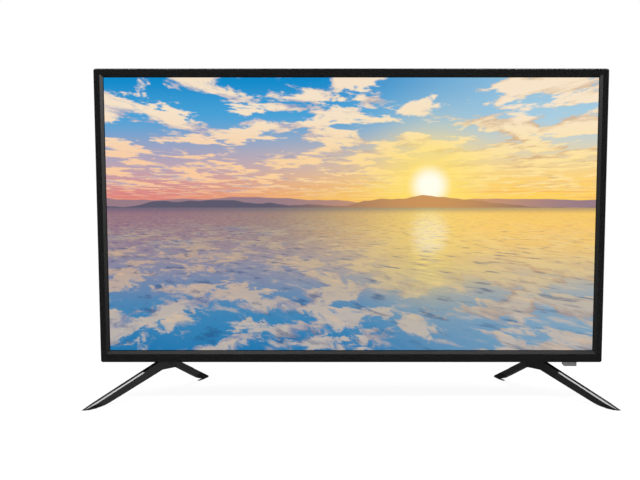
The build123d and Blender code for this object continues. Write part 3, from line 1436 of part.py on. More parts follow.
def power_harness():
    """The lead from the power board across to the main board, over the wall-mount posts' gap."""
    x0, y, z0 = header_top(power_headers()[0])
    x1, _, z1 = header_top(main_headers()[2])
    out = y + LEAD_RISE
    lowest = ((x0 + x1) / 2, out + LEAD_BEND, z0 - LEAD_DIP)
    return lead([(x0, y, z0), (x0, out, z0), lowest, (x1, out, z1), (x1, y, z1)])


def backlight_lead():
    """The lead from the power board up over its edge to the pan's back."""
    x, y, z = header_top(power_headers()[1])
    out = y + LEAD_BEND
    end = x - BACKLIGHT_LEAD_RUN
    above, pan = BOARD_HIGH + LEAD_BEND, FACE_Y + PAN_BACK
    over = ((x + end) / 2, out, above)
    points = [(x, y, z), (x, out, z), over, (end, pan + LEAD_RISE, above), (end, pan, above)]
    return lead(points, LEAD_BEND / 2)


def key_lead():
    """The lead from the main board over the right speaker box and its bracket to the key board."""
    x, y, z = header_top(main_headers()[3])
    out = y + LEAD_RISE
    over_box = FLANGE_TOP + SPEAKER_BOX_HEIGHT + LEAD_LIFT
    box_end = SPEAKER_PLACE + SPEAKER_BOX_LENGTH / 2
    down_x = box_end + LEAD_RISE
    mid_y = FACE_Y + SPEAKER_DEPTH - LEAD_BEND
    low = KEY_BOARD_LOW + KEY_BOARD_THICKNESS + KEY_HEADER_HEIGHT / 2
    end = WINDOW_X - KEY_BOARD_LENGTH / 2
    end_y = FACE_Y + KEY_BOARD_BACK - HEADER_SIDE / 2
    past = FACE_Y + THIN_INNER - LEAD_RADIUS
    points = [
        (x, y, z),
        (x, out, z),
        ((x + box_end) / 2, mid_y, over_box + LEAD_RADIUS),
        (down_x, mid_y, over_box),
        (down_x + LEAD_BEND, mid_y, (over_box + low) / 2),
        (KNEE_X, past, low + LEAD_RADIUS),
        (end - LEAD_BEND, end_y, low),
        (end, end_y, low),
    ]
    return lead(points, LEAD_BEND / 2)


def speaker_harness():
    """The leads from the main board to the tops of the two speaker boxes."""
    y_top = FACE_Y + SPEAKER_DEPTH
    top = FLANGE_TOP + SPEAKER_BOX_HEIGHT
    above = (MAIN_LOW + top) / 2 + LEAD_BEND + LEAD_RADIUS
    leads = []
    for header, end in zip(main_headers(), (-SPEAKER_PLACE, SPEAKER_PLACE)):
        x, y, z = header_top(header)
        points = [(x, y, z), (x, y + LEAD_RISE, z), (end, y_top, above), (end, y_top, top)]
        leads.append(lead(points, LEAD_BEND / 2))
    return group(leads)


PARTS = {
    "front_bezel": front_bezel,
    "bezel_gasket": bezel_gasket,
    "lcd_cell": lcd_cell,
    "cof_films": cof_films,
    "source_boards": source_boards,
    "panel_frame": panel_frame,
    "brightness_film": lambda: film(BRIGHTNESS_FRONT),
    "prism_film": lambda: film(PRISM_FRONT),
    "diffuser_film": lambda: film(DIFFUSER_FILM_FRONT),
    "diffuser_plate": diffuser_plate,
    "reflector_tray": reflector_tray,
    "led_bars": led_bars,
    "led_lenses": led_lenses,
    "diffuser_posts": diffuser_posts,
    "backlight_chassis": backlight_chassis,
    "vesa_posts": vesa_posts,
    "main_board": main_board,
    "main_heatsink": main_heatsink,
    "hdmi_sockets": hdmi_sockets,
    "usb_socket": usb_socket,
    "optical_socket": optical_socket,
    "headphone_jack": headphone_jack,
    "av_jacks": av_jacks,
    "tuner": tuner,
    "power_board": power_board,
    "ac_inlet": ac_inlet,
    "power_transformer": power_transformer,
    "bulk_capacitor": bulk_capacitor,
    "line_choke": line_choke,
    "power_heatsinks": power_heatsinks,
    "ir_window": ir_window,
    "key_board": key_board,
    "ir_receiver": ir_receiver,
    "status_led": status_led,
    "tact_switch": tact_switch,
    "switch_plunger": switch_plunger,
    "power_key": power_key,
    "speaker_box_left": lambda: speaker_box(-1),
    "speaker_box_right": lambda: speaker_box(1),
    "speaker_frame_left": lambda: speaker_frame(-1),
    "speaker_frame_right": lambda: speaker_frame(1),
    "speaker_magnet_left": lambda: speaker_magnet(-1),
    "speaker_magnet_right": lambda: speaker_magnet(1),
    "speaker_cone_left": lambda: speaker_cone(-1),
    "speaker_cone_right": lambda: speaker_cone(1),
    "speaker_surround_left": lambda: speaker_surround(-1),
    "speaker_surround_right": lambda: speaker_surround(1),
    "rear_cover": rear_cover,
    "panel_ribbon": panel_ribbon,
    "power_harness": power_harness,
    "backlight_lead": backlight_lead,
    "key_lead": key_lead,
    "speaker_harness": speaker_harness,
    "leg_left": leg_left,
    "leg_right": leg_right,
    "leg_brackets": leg_brackets,
    "leg_screws": leg_screws,
    "foot_pads": foot_pads,
    "cover_screws": cover_screws,
    "board_screws": board_screws,
}


def main():
    """Writes one file per sub-part."""
    os.makedirs("parts", exist_ok=True)
    for name, make in PARTS.items():
        export_step(make(), f"parts/{name}.step")


main()
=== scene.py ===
import math

import bmesh
import bpy
from mathutils import Matrix, Vector


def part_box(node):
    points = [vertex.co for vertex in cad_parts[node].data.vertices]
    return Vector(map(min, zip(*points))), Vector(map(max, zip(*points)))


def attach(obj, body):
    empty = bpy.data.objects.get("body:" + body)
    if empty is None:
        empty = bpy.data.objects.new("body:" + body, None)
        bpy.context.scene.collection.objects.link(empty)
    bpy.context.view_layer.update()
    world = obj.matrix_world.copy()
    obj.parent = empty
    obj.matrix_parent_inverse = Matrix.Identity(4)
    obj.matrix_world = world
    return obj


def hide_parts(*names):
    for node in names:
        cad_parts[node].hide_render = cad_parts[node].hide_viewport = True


bl_info = {
    "name": "Flat Screen Television Look",
    "version": (1, 0, 0),
    "blender": (4, 2, 0),
    "location": "View3D > Sidebar > Television",
    "description": "Dresses the packed television with its finishes, picture, small metal pieces and stage",
    "category": "Object",
}

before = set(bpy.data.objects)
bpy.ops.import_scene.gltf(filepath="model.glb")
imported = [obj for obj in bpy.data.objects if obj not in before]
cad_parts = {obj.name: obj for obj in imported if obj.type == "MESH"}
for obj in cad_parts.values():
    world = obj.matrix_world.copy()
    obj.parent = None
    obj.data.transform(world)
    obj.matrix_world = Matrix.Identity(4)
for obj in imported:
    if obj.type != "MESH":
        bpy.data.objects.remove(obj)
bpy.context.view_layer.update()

BODY = "television"
CELL_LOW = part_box("lcd_cell")[0]
WINDOW_LOW, WINDOW_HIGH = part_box("ir_window")

# The picture's place on the cell, in metres
PICTURE_HALF = 0.34885
PICTURE_BASE = 0.0697
PICTURE_RISE = 0.3923
CELL_FACE_DEPTH = 0.00008


# Shader maths

# The sockets of a Mix node that carry colours
MIX_FIRST, MIX_SECOND, MIX_RESULT = 6, 7, 2


class Value:
    """A shader number that Python's operators build on."""

    def __init__(self, tree, socket):
        self.tree = tree
        self.socket = socket

    def math(self, operation, *others):
        """One math node on this value and others."""
        node = self.tree.nodes.new("ShaderNodeMath")
        node.operation = operation
        for socket, value in zip(node.inputs, (self, *others)):
            feed(self.tree, socket, value)
        return Value(self.tree, node.outputs[0])

    def __add__(self, other):
        return self.math("ADD", other)

    def __radd__(self, other):
        return self.math("ADD", other)

    def __sub__(self, other):
        return self.math("SUBTRACT", other)

    def __rsub__(self, other):
        return self.math("MULTIPLY", -1.0).math("ADD", other)

    def __mul__(self, other):
        return self.math("MULTIPLY", other)

    def __rmul__(self, other):
        return self.math("MULTIPLY", other)

    def __truediv__(self, other):
        return self.math("DIVIDE", other)

    def __rtruediv__(self, other):
        return self.math("POWER", -1.0).math("MULTIPLY", other)

    def __pow__(self, other):
        return self.math("POWER", other)

    def largest(self, other):
        """The larger of two values."""
        return self.math("MAXIMUM", other)

    def above(self, limit):
        """1 where the value is over a limit, else 0."""
        return self.math("GREATER_THAN", limit)

    def rise(self, low, high):
        """A smooth step from 0 at low to 1 at high."""
        node = self.tree.nodes.new("ShaderNodeMapRange")
        node.interpolation_type = "SMOOTHSTEP"
        feed(self.tree, node.inputs["Value"], self)
        feed(self.tree, node.inputs["From Min"], low)
        feed(self.tree, node.inputs["From Max"], high)
        return Value(self.tree, node.outputs["Result"])


def feed(tree, socket, value):
    """Links a value to a socket, or sets a plain number or colour there."""
    if isinstance(value, Value):
        tree.links.new(value.socket, socket)
    else:
        socket.default_value = value


def rgb(red, green, blue):
    """A colour given as a screen shows it, from 0 to 255, made linear."""
    linear = []
    for level in (red, green, blue):
        share = level / 255
        linear.append(share / 12.92 if share <= 0.04045 else ((share + 0.055) / 1.055) ** 2.4)
    return (*linear, 1.0)


def mixed(tree, share, first, second):
    """A colour from first to second."""
    node = tree.nodes.new("ShaderNodeMix")
    node.data_type = "RGBA"
    feed(tree, node.inputs["Factor"], share)
    feed(tree, node.inputs[MIX_FIRST], first)
    feed(tree, node.inputs[MIX_SECOND], second)
    return Value(tree, node.outputs[MIX_RESULT])


def enriched(tree, colour, saturation):
    """A colour with its saturation raised or lowered."""
    node = tree.nodes.new("ShaderNodeHueSaturation")
    node.inputs["Saturation"].default_value = saturation
    feed(tree, node.inputs["Color"], colour)
    return Value(tree, node.outputs[0])


def place(tree):
    """The object coordinates as three values."""
    coords = tree.nodes.new("ShaderNodeTexCoord")
    split = tree.nodes.new("ShaderNodeSeparateXYZ")
    tree.links.new(coords.outputs["Object"], split.inputs[0])
    return [Value(tree, output) for output in split.outputs]


def point(tree, x, y, z=0.0):
    """A vector of three values or numbers."""
    node = tree.nodes.new("ShaderNodeCombineXYZ")
    for socket, value in zip(node.inputs, (x, y, z)):
        feed(tree, socket, value)
    return Value(tree, node.outputs[0])


def noise(tree, where, scale, detail=3.0, roughness=0.5, distortion=0.0):
    """Noise from 0 to 1 at a place."""
    node = tree.nodes.new("ShaderNodeTexNoise")
    feed(tree, node.inputs["Vector"], where)
    node.inputs["Scale"].default_value = scale
    node.inputs["Detail"].default_value = detail
    node.inputs["Roughness"].default_value = roughness
    node.inputs["Distortion"].default_value = distortion
    return Value(tree, node.outputs[0])


# Finishes

# How much the gloss varies, over patches of this noise scale, and the grain's detail and depth in metres
WEAR = 0.04
PATCH_SCALE = 14.0
GRAIN_DETAIL = 2.0
GRAIN_DEPTH = 0.0002

# Tables of finishes: name, colour, roughness, other settings, and the CAD nodes that wear it
MOULDED_FINISHES = (
    (
        "inner_plastic", (0.02, 0.02, 0.021), 0.45, {"grain": 0.2},
        ("panel_frame", "switch_plunger", "speaker_box_left", "speaker_box_right", "bulk_capacitor"),
    ),
    (
        "rubber", (0.005, 0.005, 0.005), 0.75, {"specular": 0.25, "grain": 0.4, "grain_scale": 700.0},
        ("foot_pads", "bezel_gasket", "speaker_surround_left", "speaker_surround_right"),
    ),
    ("lead_sleeve", (0.02, 0.02, 0.02), 0.55, {}, ("power_harness", "backlight_lead", "key_lead")),
    ("lead_pair", (0.3, 0.02, 0.02), 0.5, {}, ("speaker_harness",)),
    ("ribbon", (0.62, 0.62, 0.64), 0.4, {}, ("panel_ribbon",)),
)
INSIDE_FINISHES = (
    (
        "aluminium", (0.76, 0.76, 0.77), 0.3, {"metallic": 1.0, "grain": 0.1},
        ("main_heatsink", "power_heatsinks"),
    ),
    (
        "connector_black", (0.012, 0.012, 0.012), 0.4, {"grain": 0.15},
        ("optical_socket", "headphone_jack", "av_jacks", "ac_inlet", "ir_receiver", "tact_switch"),
    ),
    (
        "circuit_board", (0.012, 0.14, 0.05), 0.32, {"grain": 0.2, "grain_scale": 300.0},
        ("main_board", "power_board", "key_board", "source_boards"),
    ),
    ("winding_tape", (0.6, 0.42, 0.05), 0.35, {}, ("power_transformer", "line_choke")),
    ("white_sheet", (0.88, 0.88, 0.88), 0.6, {}, ("reflector_tray", "led_bars")),
    ("milky_plastic", (0.85, 0.85, 0.85), 0.4, {}, ("diffuser_plate", "diffuser_posts")),
    (
        "clear_film", (0.8, 0.82, 0.84), 0.25, {},
        ("brightness_film", "prism_film", "diffuser_film", "led_lenses", "status_led"),
    ),
    ("amber_film", (0.5, 0.2, 0.03), 0.3, {}, ("cof_films",)),
    ("ferrite", (0.05, 0.05, 0.055), 0.5, {}, ("speaker_magnet_left", "speaker_magnet_right")),
    (
        "cone_paper", (0.025, 0.025, 0.025), 0.85, {"grain": 0.5},
        ("speaker_cone_left", "speaker_cone_right"),
    ),
)


def new_material(name):
    """A node material and its Principled shader."""
    material = bpy.data.materials.new(name)
    material.use_nodes = True
    return material, material.node_tree, material.node_tree.nodes["Principled BSDF"]


def surface(name, colour, roughness, metallic=0.0, grain=0.0, grain_scale=900.0, specular=0.5):
    """A plain finish with a fine grain and a little unevenness in its gloss."""
    material, tree, shader = new_material(name)
    shader.inputs["Base Color"].default_value = (*colour, 1.0)
    shader.inputs["Metallic"].default_value = metallic
    shader.inputs["Specular IOR Level"].default_value = specular
    x, y, z = place(tree)
    patches = noise(tree, point(tree, x, y, z), PATCH_SCALE)
    feed(tree, shader.inputs["Roughness"], (patches - 0.5) * WEAR + roughness)
    if grain:
        bump = tree.nodes.new("ShaderNodeBump")
        bump.inputs["Strength"].default_value = grain
        bump.inputs["Distance"].default_value = GRAIN_DEPTH
        relief = noise(tree, point(tree, x, y, z), grain_scale, detail=GRAIN_DETAIL)
        feed(tree, bump.inputs["Height"], relief)
        tree.links.new(bump.outputs[0], shader.inputs["Normal"])
    return material


def dress(material, *nodes):
    """Gives CAD nodes a finish by their material slots."""
    for name in nodes:
        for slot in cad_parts[name].material_slots:
            slot.material = material


def dress_all(finishes):
    """Makes each finish of a table and gives it to its CAD nodes."""
    for name, colour, roughness, settings, nodes in finishes:
        dress(surface(name, colour, roughness, **settings), *nodes)


# The picture

# Tones as a screen shows them, in pairs: on the side away from the sun, and on the sun's side
HORIZON_TONES = rgb(222, 132, 126), rgb(255, 210, 100)
LOW_SKY_TONES = rgb(196, 164, 172), rgb(250, 214, 140)
HIGH_SKY_TONES = rgb(84, 164, 214), rgb(172, 206, 224)
TOP_SKY_TONES = rgb(40, 138, 200), rgb(150, 194, 220)
CLOUD_SHADE_TONES = rgb(158, 160, 190), rgb(214, 176, 134)
CLOUD_LIGHT_TONES = rgb(253, 208, 164), rgb(255, 228, 160)
FAR_WATER_TONES = rgb(58, 100, 128), rgb(246, 204, 122)

# Single tones
HIGH_CLOUD_TONE = rgb(255, 232, 200)
STREAK_TONE = rgb(236, 158, 120)
GLOW_TONE = rgb(255, 228, 124)
SUN_TONE = rgb(255, 254, 238)
NEAR_WATER_TONE = rgb(40, 84, 128)
CREST_TONE = rgb(240, 200, 150)
TROUGH_TONE = rgb(36, 74, 120)
SPARKLE_TONE = rgb(255, 232, 140)
HAZE_TONE = rgb(246, 178, 92)
SHORE_TONE = rgb(62, 84, 112)
BLACK = rgb(0, 0, 0)

# Where a tone takes over from another: SIDES are shares of the width, BAND shares of the height of the
# sky or the water from the horizon, EDGE values of a noise or a distance
HORIZON_SIDE_START = 0.05
LOW_SKY_SIDES, LOW_SKY_BAND = (0.1, 0.9), (0.02, 0.34)
HIGH_SKY_SIDES, HIGH_SKY_BAND = (0.4, 0.95), (0.2, 0.75)
TOP_SKY_BAND = 0.65, 1.05

# The clouds lie on a level layer overhead, and a second look a step toward the sun finds their lit side
CLOUD_NOISE = {"scale": 3.7, "detail": 8.0, "roughness": 0.62, "distortion": 0.3}
CLOUD_STRETCH = 1.9, 1.35
CLOUD_GAP = 0.16
CLOUD_STEP = 0.16, 0.10
CLOUD_EDGE, CLOUD_BAND, CLOUD_DENSITY = (0.475, 0.535), (0.0, 0.22), 0.9
CLOUD_LIGHT_EDGE, CLOUD_LIGHT_SIDES = (-0.14, 0.08), (0.1, 0.8)
CLOUD_SHADE_SIDES = 0.2, 0.9
HIGH_CLOUD_BAND = 0.3, 0.8

# Streaks of thin cloud over the horizon
STREAK_NOISE = {"scale": 2.0, "detail": 4.0}
STREAK_STRETCH = 2.2, 26.0
STREAK_SEED = 3.0
STREAK_EDGE, STREAK_BAND, STREAK_STRENGTH = (0.5, 0.68), (0.10, 0.30), 0.55

# The sun's disc and its glow, in heights of the sky
SUN_EDGE = 0.050, 0.190
GLOW_EDGE, GLOW_STRENGTH = (0.0, 0.95), 0.92

# The water's ripples and swell, with their stretch across and away, and their shift of the mirrored sky up
# and across
NEAREST_WATER = 0.05
RIPPLE_NOISE = {"scale": 3.0, "detail": 5.0, "roughness": 0.6}
RIPPLE_STRETCH, RIPPLE_SEED, RIPPLE_SHIFT = (5.0, 2.4), 1.7, (0.16, 0.03)
SWELL_NOISE = {"scale": 2.6, "detail": 3.0}
SWELL_STRETCH, SWELL_SEED, SWELL_SHIFT = (2.6, 1.0), 5.1, (0.10, 0.05)
MIRROR_REACH = 0.92

# The water's own colour, its waves and the sun's path on it
FAR_WATER_SIDES, NEAR_WATER_BAND = (0.3, 0.75), (0.1, 0.7)
TINT_FAR, TINT_LOSS, TINT_BAND = 0.64, 0.16, (0.0, 0.5)
WAVE_EDGE, CREST_STRENGTH, TROUGH_STRENGTH = (0.04, 0.20), 0.35, 0.6
PATH_SIDES, PATH_BAND, SPARKLE_EDGE = (0.004, 0.05), (0.1, 0.75), (-0.06, 0.14)

# The rows of hills: noise seed, noise scale, height of the foot and tone
HILL_ROWS = ((9.0, 2.3, 0.035, rgb(150, 124, 134)), (4.0, 3.6, 0.012, rgb(92, 88, 106)))
HILL_DETAIL = 4.0
HILL_CUT, HILL_HEIGHT, HILL_EDGE = 0.40, 0.34, (0.0, 0.006)
HILL_END_SIDES, HILL_END_LOSS = (0.55, 0.95), 0.55
HAZE_SIDES, HAZE_STRENGTH = (0.0, 0.35), 0.6
SHORE_BAND, SHORE_STRENGTH = (0.0, 0.05), 0.5

CELL_SPECULAR = 0.12


def sky(tree, across, height, look):
    """The sky's colour at a place across, from 0 to 1, and a height over the horizon, from 0 to 1."""
    horizon = mixed(tree, across.rise(HORIZON_SIDE_START, look.sun_across), *HORIZON_TONES)
    low = mixed(tree, across.rise(*LOW_SKY_SIDES), *LOW_SKY_TONES)
    colour = mixed(tree, height.rise(*LOW_SKY_BAND), horizon, low)
    toward = across.rise(*HIGH_SKY_SIDES)
    colour = mixed(tree, height.rise(*HIGH_SKY_BAND), colour, mixed(tree, toward, *HIGH_SKY_TONES))
    colour = mixed(tree, height.rise(*TOP_SKY_BAND), colour, mixed(tree, toward, *TOP_SKY_TONES))
    colour = clouded(tree, across, height, colour, look)
    wide, tall = STREAK_STRETCH
    streaks = noise(tree, point(tree, across * wide, height * tall, STREAK_SEED), **STREAK_NOISE)
    band = streaks.rise(*STREAK_EDGE) * (1.0 - height.rise(*STREAK_BAND))
    return mixed(tree, band * STREAK_STRENGTH, colour, STREAK_TONE)


def clouded(tree, across, height, colour, look):
    """The sky's colour with clouds that are lit on the side toward the sun."""
    far = height + CLOUD_GAP
    wide, deep = CLOUD_STRETCH
    aside = (across - 0.5) * wide / far
    away = deep / far
    shape = noise(tree, point(tree, aside, away, look.cloud_seed), **CLOUD_NOISE)
    sunward = point(tree, aside + CLOUD_STEP[0], away + CLOUD_STEP[1], look.cloud_seed)
    lit = (shape - noise(tree, sunward, **CLOUD_NOISE)).rise(*CLOUD_LIGHT_EDGE)
    cover = shape.rise(*CLOUD_EDGE) * height.rise(*CLOUD_BAND)
    shadow_side = mixed(tree, across.rise(*CLOUD_SHADE_SIDES), *CLOUD_SHADE_TONES)
    bright_side = mixed(tree, across.rise(*CLOUD_LIGHT_SIDES), *CLOUD_LIGHT_TONES)
    bright_side = mixed(tree, height.rise(*HIGH_CLOUD_BAND), bright_side, HIGH_CLOUD_TONE)
    return mixed(tree, cover * CLOUD_DENSITY, colour, mixed(tree, lit, shadow_side, bright_side))


def sun_light(across, height, look):
    """The sun's disc and the glow round it, from 0 to 1."""
    wide = 2 * PICTURE_HALF / PICTURE_RISE / (1.0 - look.horizon)
    aside = (across - look.sun_across) * wide
    over = height - look.sun_height
    away = (aside * aside + over * over) ** 0.5
    disc = 1.0 - away.rise(*SUN_EDGE)
    glow = 1.0 - away.rise(*GLOW_EDGE)
    return disc, glow * glow


def picture_colour(tree, x, z, look):
    """A lake between low hills at sunset: sky, hills, and the water that mirrors them."""
    across = (x + PICTURE_HALF) / (2 * PICTURE_HALF)
    up = (z - PICTURE_BASE) / PICTURE_RISE
    over = (up - look.horizon) / (1.0 - look.horizon)
    under = (look.horizon - up) / look.horizon
    is_water = under.above(0.0)
    depth = under.largest(0.0) + NEAREST_WATER
    wide, deep = RIPPLE_STRETCH
    ripple_at = point(tree, across * wide / depth, deep / depth, RIPPLE_SEED)
    ripple = noise(tree, ripple_at, **RIPPLE_NOISE) - 0.5
    wide, deep = SWELL_STRETCH
    swell = noise(tree, point(tree, across * wide, deep / depth, SWELL_SEED), **SWELL_NOISE) - 0.5
    mirrored = under * MIRROR_REACH + ripple * RIPPLE_SHIFT[0] * depth + swell * SWELL_SHIFT[0]
    height = over * (1.0 - is_water) + mirrored.largest(0.0) * is_water
    swayed = across + (swell * SWELL_SHIFT[1] + ripple * RIPPLE_SHIFT[1]) * is_water
    colour = sky(tree, swayed, height, look)
    disc, glow = sun_light(swayed, height, look)
    colour = mixed(tree, glow * GLOW_STRENGTH, colour, GLOW_TONE)
    colour = mixed(tree, disc, colour, SUN_TONE)
    colour = mixed(tree, is_water, colour, water(tree, across, under, ripple, colour, look))
    return hills(tree, across, over, under, colour, look)


def water(tree, across, under, ripple, colour, look):
    """The water's colour over the sky that it mirrors, with its waves and the sun's path."""
    far_water = mixed(tree, across.rise(*FAR_WATER_SIDES), *FAR_WATER_TONES)
    tint = mixed(tree, under.rise(*NEAR_WATER_BAND), far_water, NEAR_WATER_TONE)
    colour = mixed(tree, TINT_FAR - under.rise(*TINT_BAND) * TINT_LOSS, colour, tint)
    colour = mixed(tree, ripple.rise(*WAVE_EDGE) * CREST_STRENGTH, colour, CREST_TONE)
    colour = mixed(tree, (0.0 - ripple).rise(*WAVE_EDGE) * TROUGH_STRENGTH, colour, TROUGH_TONE)
    path = 1.0 - (across - look.sun_across).math("ABSOLUTE").rise(*PATH_SIDES)
    sparkle = path * ripple.rise(*SPARKLE_EDGE) * (1.0 - under.rise(*PATH_BAND))
    return mixed(tree, sparkle, colour, SPARKLE_TONE)


def hills(tree, across, over, under, colour, look):
    """Two rows of low hills along the far shore, with their dark line on the water."""
    haze = 1.0 - (across - look.sun_across).math("ABSOLUTE").rise(*HAZE_SIDES)
    tallness = (1.0 - across.rise(*HILL_END_SIDES) * HILL_END_LOSS) * HILL_HEIGHT
    for seed, scale, foot, tone in HILL_ROWS:
        crest = noise(tree, point(tree, across, seed), scale, detail=HILL_DETAIL)
        top = (crest - HILL_CUT) * tallness + foot
        land = (top - over).rise(*HILL_EDGE) * over.above(0.0)
        colour = mixed(tree, land, colour, mixed(tree, haze * HAZE_STRENGTH, tone, HAZE_TONE))
    shore = under.above(0.0) * (1.0 - under.rise(*SHORE_BAND))
    return mixed(tree, shore * SHORE_STRENGTH, colour, SHORE_TONE)


class PictureSettings(bpy.types.PropertyGroup):
    """The picture that the screen shows."""

    brightness: bpy.props.FloatProperty(
        name="Brightness", description="Light that the screen gives off", default=1.0, min=0.0, max=4.0
    )
    saturation: bpy.props.FloatProperty(
        name="Saturation", description="How rich the picture's colours are", default=1.05, min=0.0, max=2.0
    )
    sun_across: bpy.props.FloatProperty(
        name="Sun Across", description="The sun's place from the left edge, as a share",
        default=0.66, subtype="FACTOR",
    )
    sun_height: bpy.props.FloatProperty(
        name="Sun Height", description="The sun's height over the horizon, as a share of the sky",
        default=0.17, subtype="FACTOR",
    )
    horizon: bpy.props.FloatProperty(
        name="Horizon", description="The horizon's height from the lower edge, as a share",
        default=0.53, subtype="FACTOR",
    )
    cloud_seed: bpy.props.FloatProperty(
        name="Clouds", description="Which clouds the sky has", default=4.7
    )
    cell_black: bpy.props.FloatVectorProperty(
        name="Panel Black", description="Colour of the panel where it shows nothing",
        subtype="COLOR", size=3, default=(0.004, 0.004, 0.005),
    )
    cell_gloss: bpy.props.FloatProperty(
        name="Panel Roughness", description="Roughness of the panel's front sheet",
        default=0.34, subtype="FACTOR",
    )


class TV_OT_picture(bpy.types.Operator):
    """Gives the panel its picture and its black border"""

    bl_idname = "tv.picture"
    bl_label = "Picture"

    def execute(self, context):
        look = context.scene.tv_picture
        material, tree, shader = new_material("panel_picture")
        x, y, z = place(tree)
        inside = (PICTURE_HALF - x.math("ABSOLUTE")).above(0.0)
        inside = inside * (z - PICTURE_BASE).above(0.0) * (PICTURE_BASE + PICTURE_RISE - z).above(0.0)
        front = (CELL_LOW.y + CELL_FACE_DEPTH - y).above(0.0)
        picture = enriched(tree, picture_colour(tree, x, z, look), look.saturation)
        shader.inputs["Base Color"].default_value = (*look.cell_black, 1.0)
        shader.inputs["Roughness"].default_value = look.cell_gloss
        shader.inputs["Specular IOR Level"].default_value = CELL_SPECULAR
        shader.inputs["Emission Strength"].default_value = look.brightness
        feed(tree, shader.inputs["Emission Color"], mixed(tree, inside * front, BLACK, picture))
        dress(material, "lcd_cell")
        return {"FINISHED"}


# The mouldings

# The receiver window: waves of its bands from bottom to top in radians, their strength and darkness
WINDOW_WAVES = 21.0
BAND_STRENGTH = 0.6
BAND_DARKNESS = 0.75
WINDOW_ROUGHNESS = 0.18
WINDOW_CLARITY = 0.12


class MouldingSettings(bpy.types.PropertyGroup):
    """The black mouldings."""

    bezel_colour: bpy.props.FloatVectorProperty(
        name="Bezel", description="Colour of the bezel",
        subtype="COLOR", size=3, default=(0.0036, 0.0036, 0.0037),
    )
    bezel_roughness: bpy.props.FloatProperty(
        name="Bezel Roughness", description="Roughness of the bezel", default=0.24, subtype="FACTOR"
    )
    cover_colour: bpy.props.FloatVectorProperty(
        name="Cover", description="Colour of the rear cover",
        subtype="COLOR", size=3, default=(0.011, 0.011, 0.0115),
    )
    cover_roughness: bpy.props.FloatProperty(
        name="Cover Roughness", description="Roughness of the rear cover", default=0.52, subtype="FACTOR"
    )
    leg_colour: bpy.props.FloatVectorProperty(
        name="Legs", description="Colour of the legs",
        subtype="COLOR", size=3, default=(0.007, 0.007, 0.0073),
    )
    leg_roughness: bpy.props.FloatProperty(
        name="Leg Roughness", description="Roughness of the legs", default=0.16, subtype="FACTOR"
    )
    window_colour: bpy.props.FloatVectorProperty(
        name="Receiver Window", description="Colour of the receiver window",
        subtype="COLOR", size=3, default=(0.175, 0.172, 0.18),
    )


def window_finish(look):
    """Smoked grey plastic with faint level bands from the parts behind it."""
    material, tree, shader = new_material("smoked_window")
    level = (place(tree)[2] - WINDOW_LOW.z) / (WINDOW_HIGH.z - WINDOW_LOW.z)
    band = (level * WINDOW_WAVES).math("SINE") * 0.5 + 0.5
    dark = tuple(channel * BAND_DARKNESS for channel in look.window_colour)
    banded = mixed(tree, band * BAND_STRENGTH, (*look.window_colour, 1.0), (*dark, 1.0))
    feed(tree, shader.inputs["Base Color"], banded)
    shader.inputs["Roughness"].default_value = WINDOW_ROUGHNESS
    shader.inputs["Transmission Weight"].default_value = WINDOW_CLARITY
    return material


class TV_OT_mouldings(bpy.types.Operator):
    """Gives the bezel, cover, legs, key, window and leads their finishes"""

    bl_idname = "tv.mouldings"
    bl_label = "Mouldings"

    def execute(self, context):
        look = context.scene.tv_mouldings
        bezel = surface("bezel_black", look.bezel_colour, look.bezel_roughness, specular=0.8)
        dress(bezel, "front_bezel")
        cover = surface(
            "cover_black", look.cover_colour, look.cover_roughness, grain=0.2, grain_scale=1500.0
        )
        dress(cover, "rear_cover", "power_key")
        legs = surface(
            "leg_black", look.leg_colour, look.leg_roughness, grain=0.02, grain_scale=2000.0, specular=0.24
        )
        dress(legs, "leg_left", "leg_right")
        dress(window_finish(look), "ir_window")
        dress_all(MOULDED_FINISHES)
        return {"FINISHED"}


# The pieces behind and inside


class TV_OT_inside(bpy.types.Operator):
    """Gives the light, boards, speakers and sockets their finishes"""

    bl_idname = "tv.inside"
    bl_label = "Inside and Sockets"

    def execute(self, context):
        look = context.scene.tv_metals
        steel = surface("pan_steel", look.steel_colour, 0.34, metallic=1.0, grain=0.1, grain_scale=500.0)
        dress(steel, "backlight_chassis", "leg_brackets", "speaker_frame_left", "speaker_frame_right")
        plated = surface("plated_steel", look.plated_colour, 0.26, metallic=1.0)
        dress(plated, "vesa_posts", "hdmi_sockets", "usb_socket", "tuner", "board_screws")
        dress_all(INSIDE_FINISHES)
        return {"FINISHED"}


# Small metal pieces, with their sizes in metres

# Points nearer than this are one point: in a turned piece, and in a CAD node's loose triangles
TURNED_WELD = 0.00001
NODE_WELD = 0.000002
SEED_FACE = 0.001
SMOOTH_ANGLE = math.radians(30)

# Screws: the CAD node, the way from tip to head, and the head's share of the length
SCREWS = (("cover_screws", (0, 1, 0), 0.254), ("leg_screws", (0, 0, -1), 0.156))
SCREW_STEPS = 32

# A screw's form in shares of its head's radius
SHANK_RADIUS = 0.45
SHOULDER_RADIUS = 0.86
CROWN_RADIUS = 0.55
RECESS_REACH = 0.62

# A screw's form in shares of its head's height, but the shoulder in shares of the dome and the recess's
# width in shares of its reach
DOME_HEIGHT = 0.45
SHOULDER_DROP = 0.35
RECESS_DEPTH = 0.62
RECESS_OVERRUN = 1.5
RECESS_WIDTH = 0.2

# The screened can stops inside the cover's wall, and the stud's collar stands proud of it
CAN_SETBACK = 0.0028
CAN_BEVEL = 0.0006
COLLAR_RADIUS = 0.0056
COLLAR_PROUD = 0.0004
STUD_RADIUS = 0.00475
STUD_NECK = 0.0015
STUD_LEAD = 0.0006
STUD_BEVEL = 0.0005
STUD_BORE = 0.0015
STUD_BORE_DEPTH = 0.009

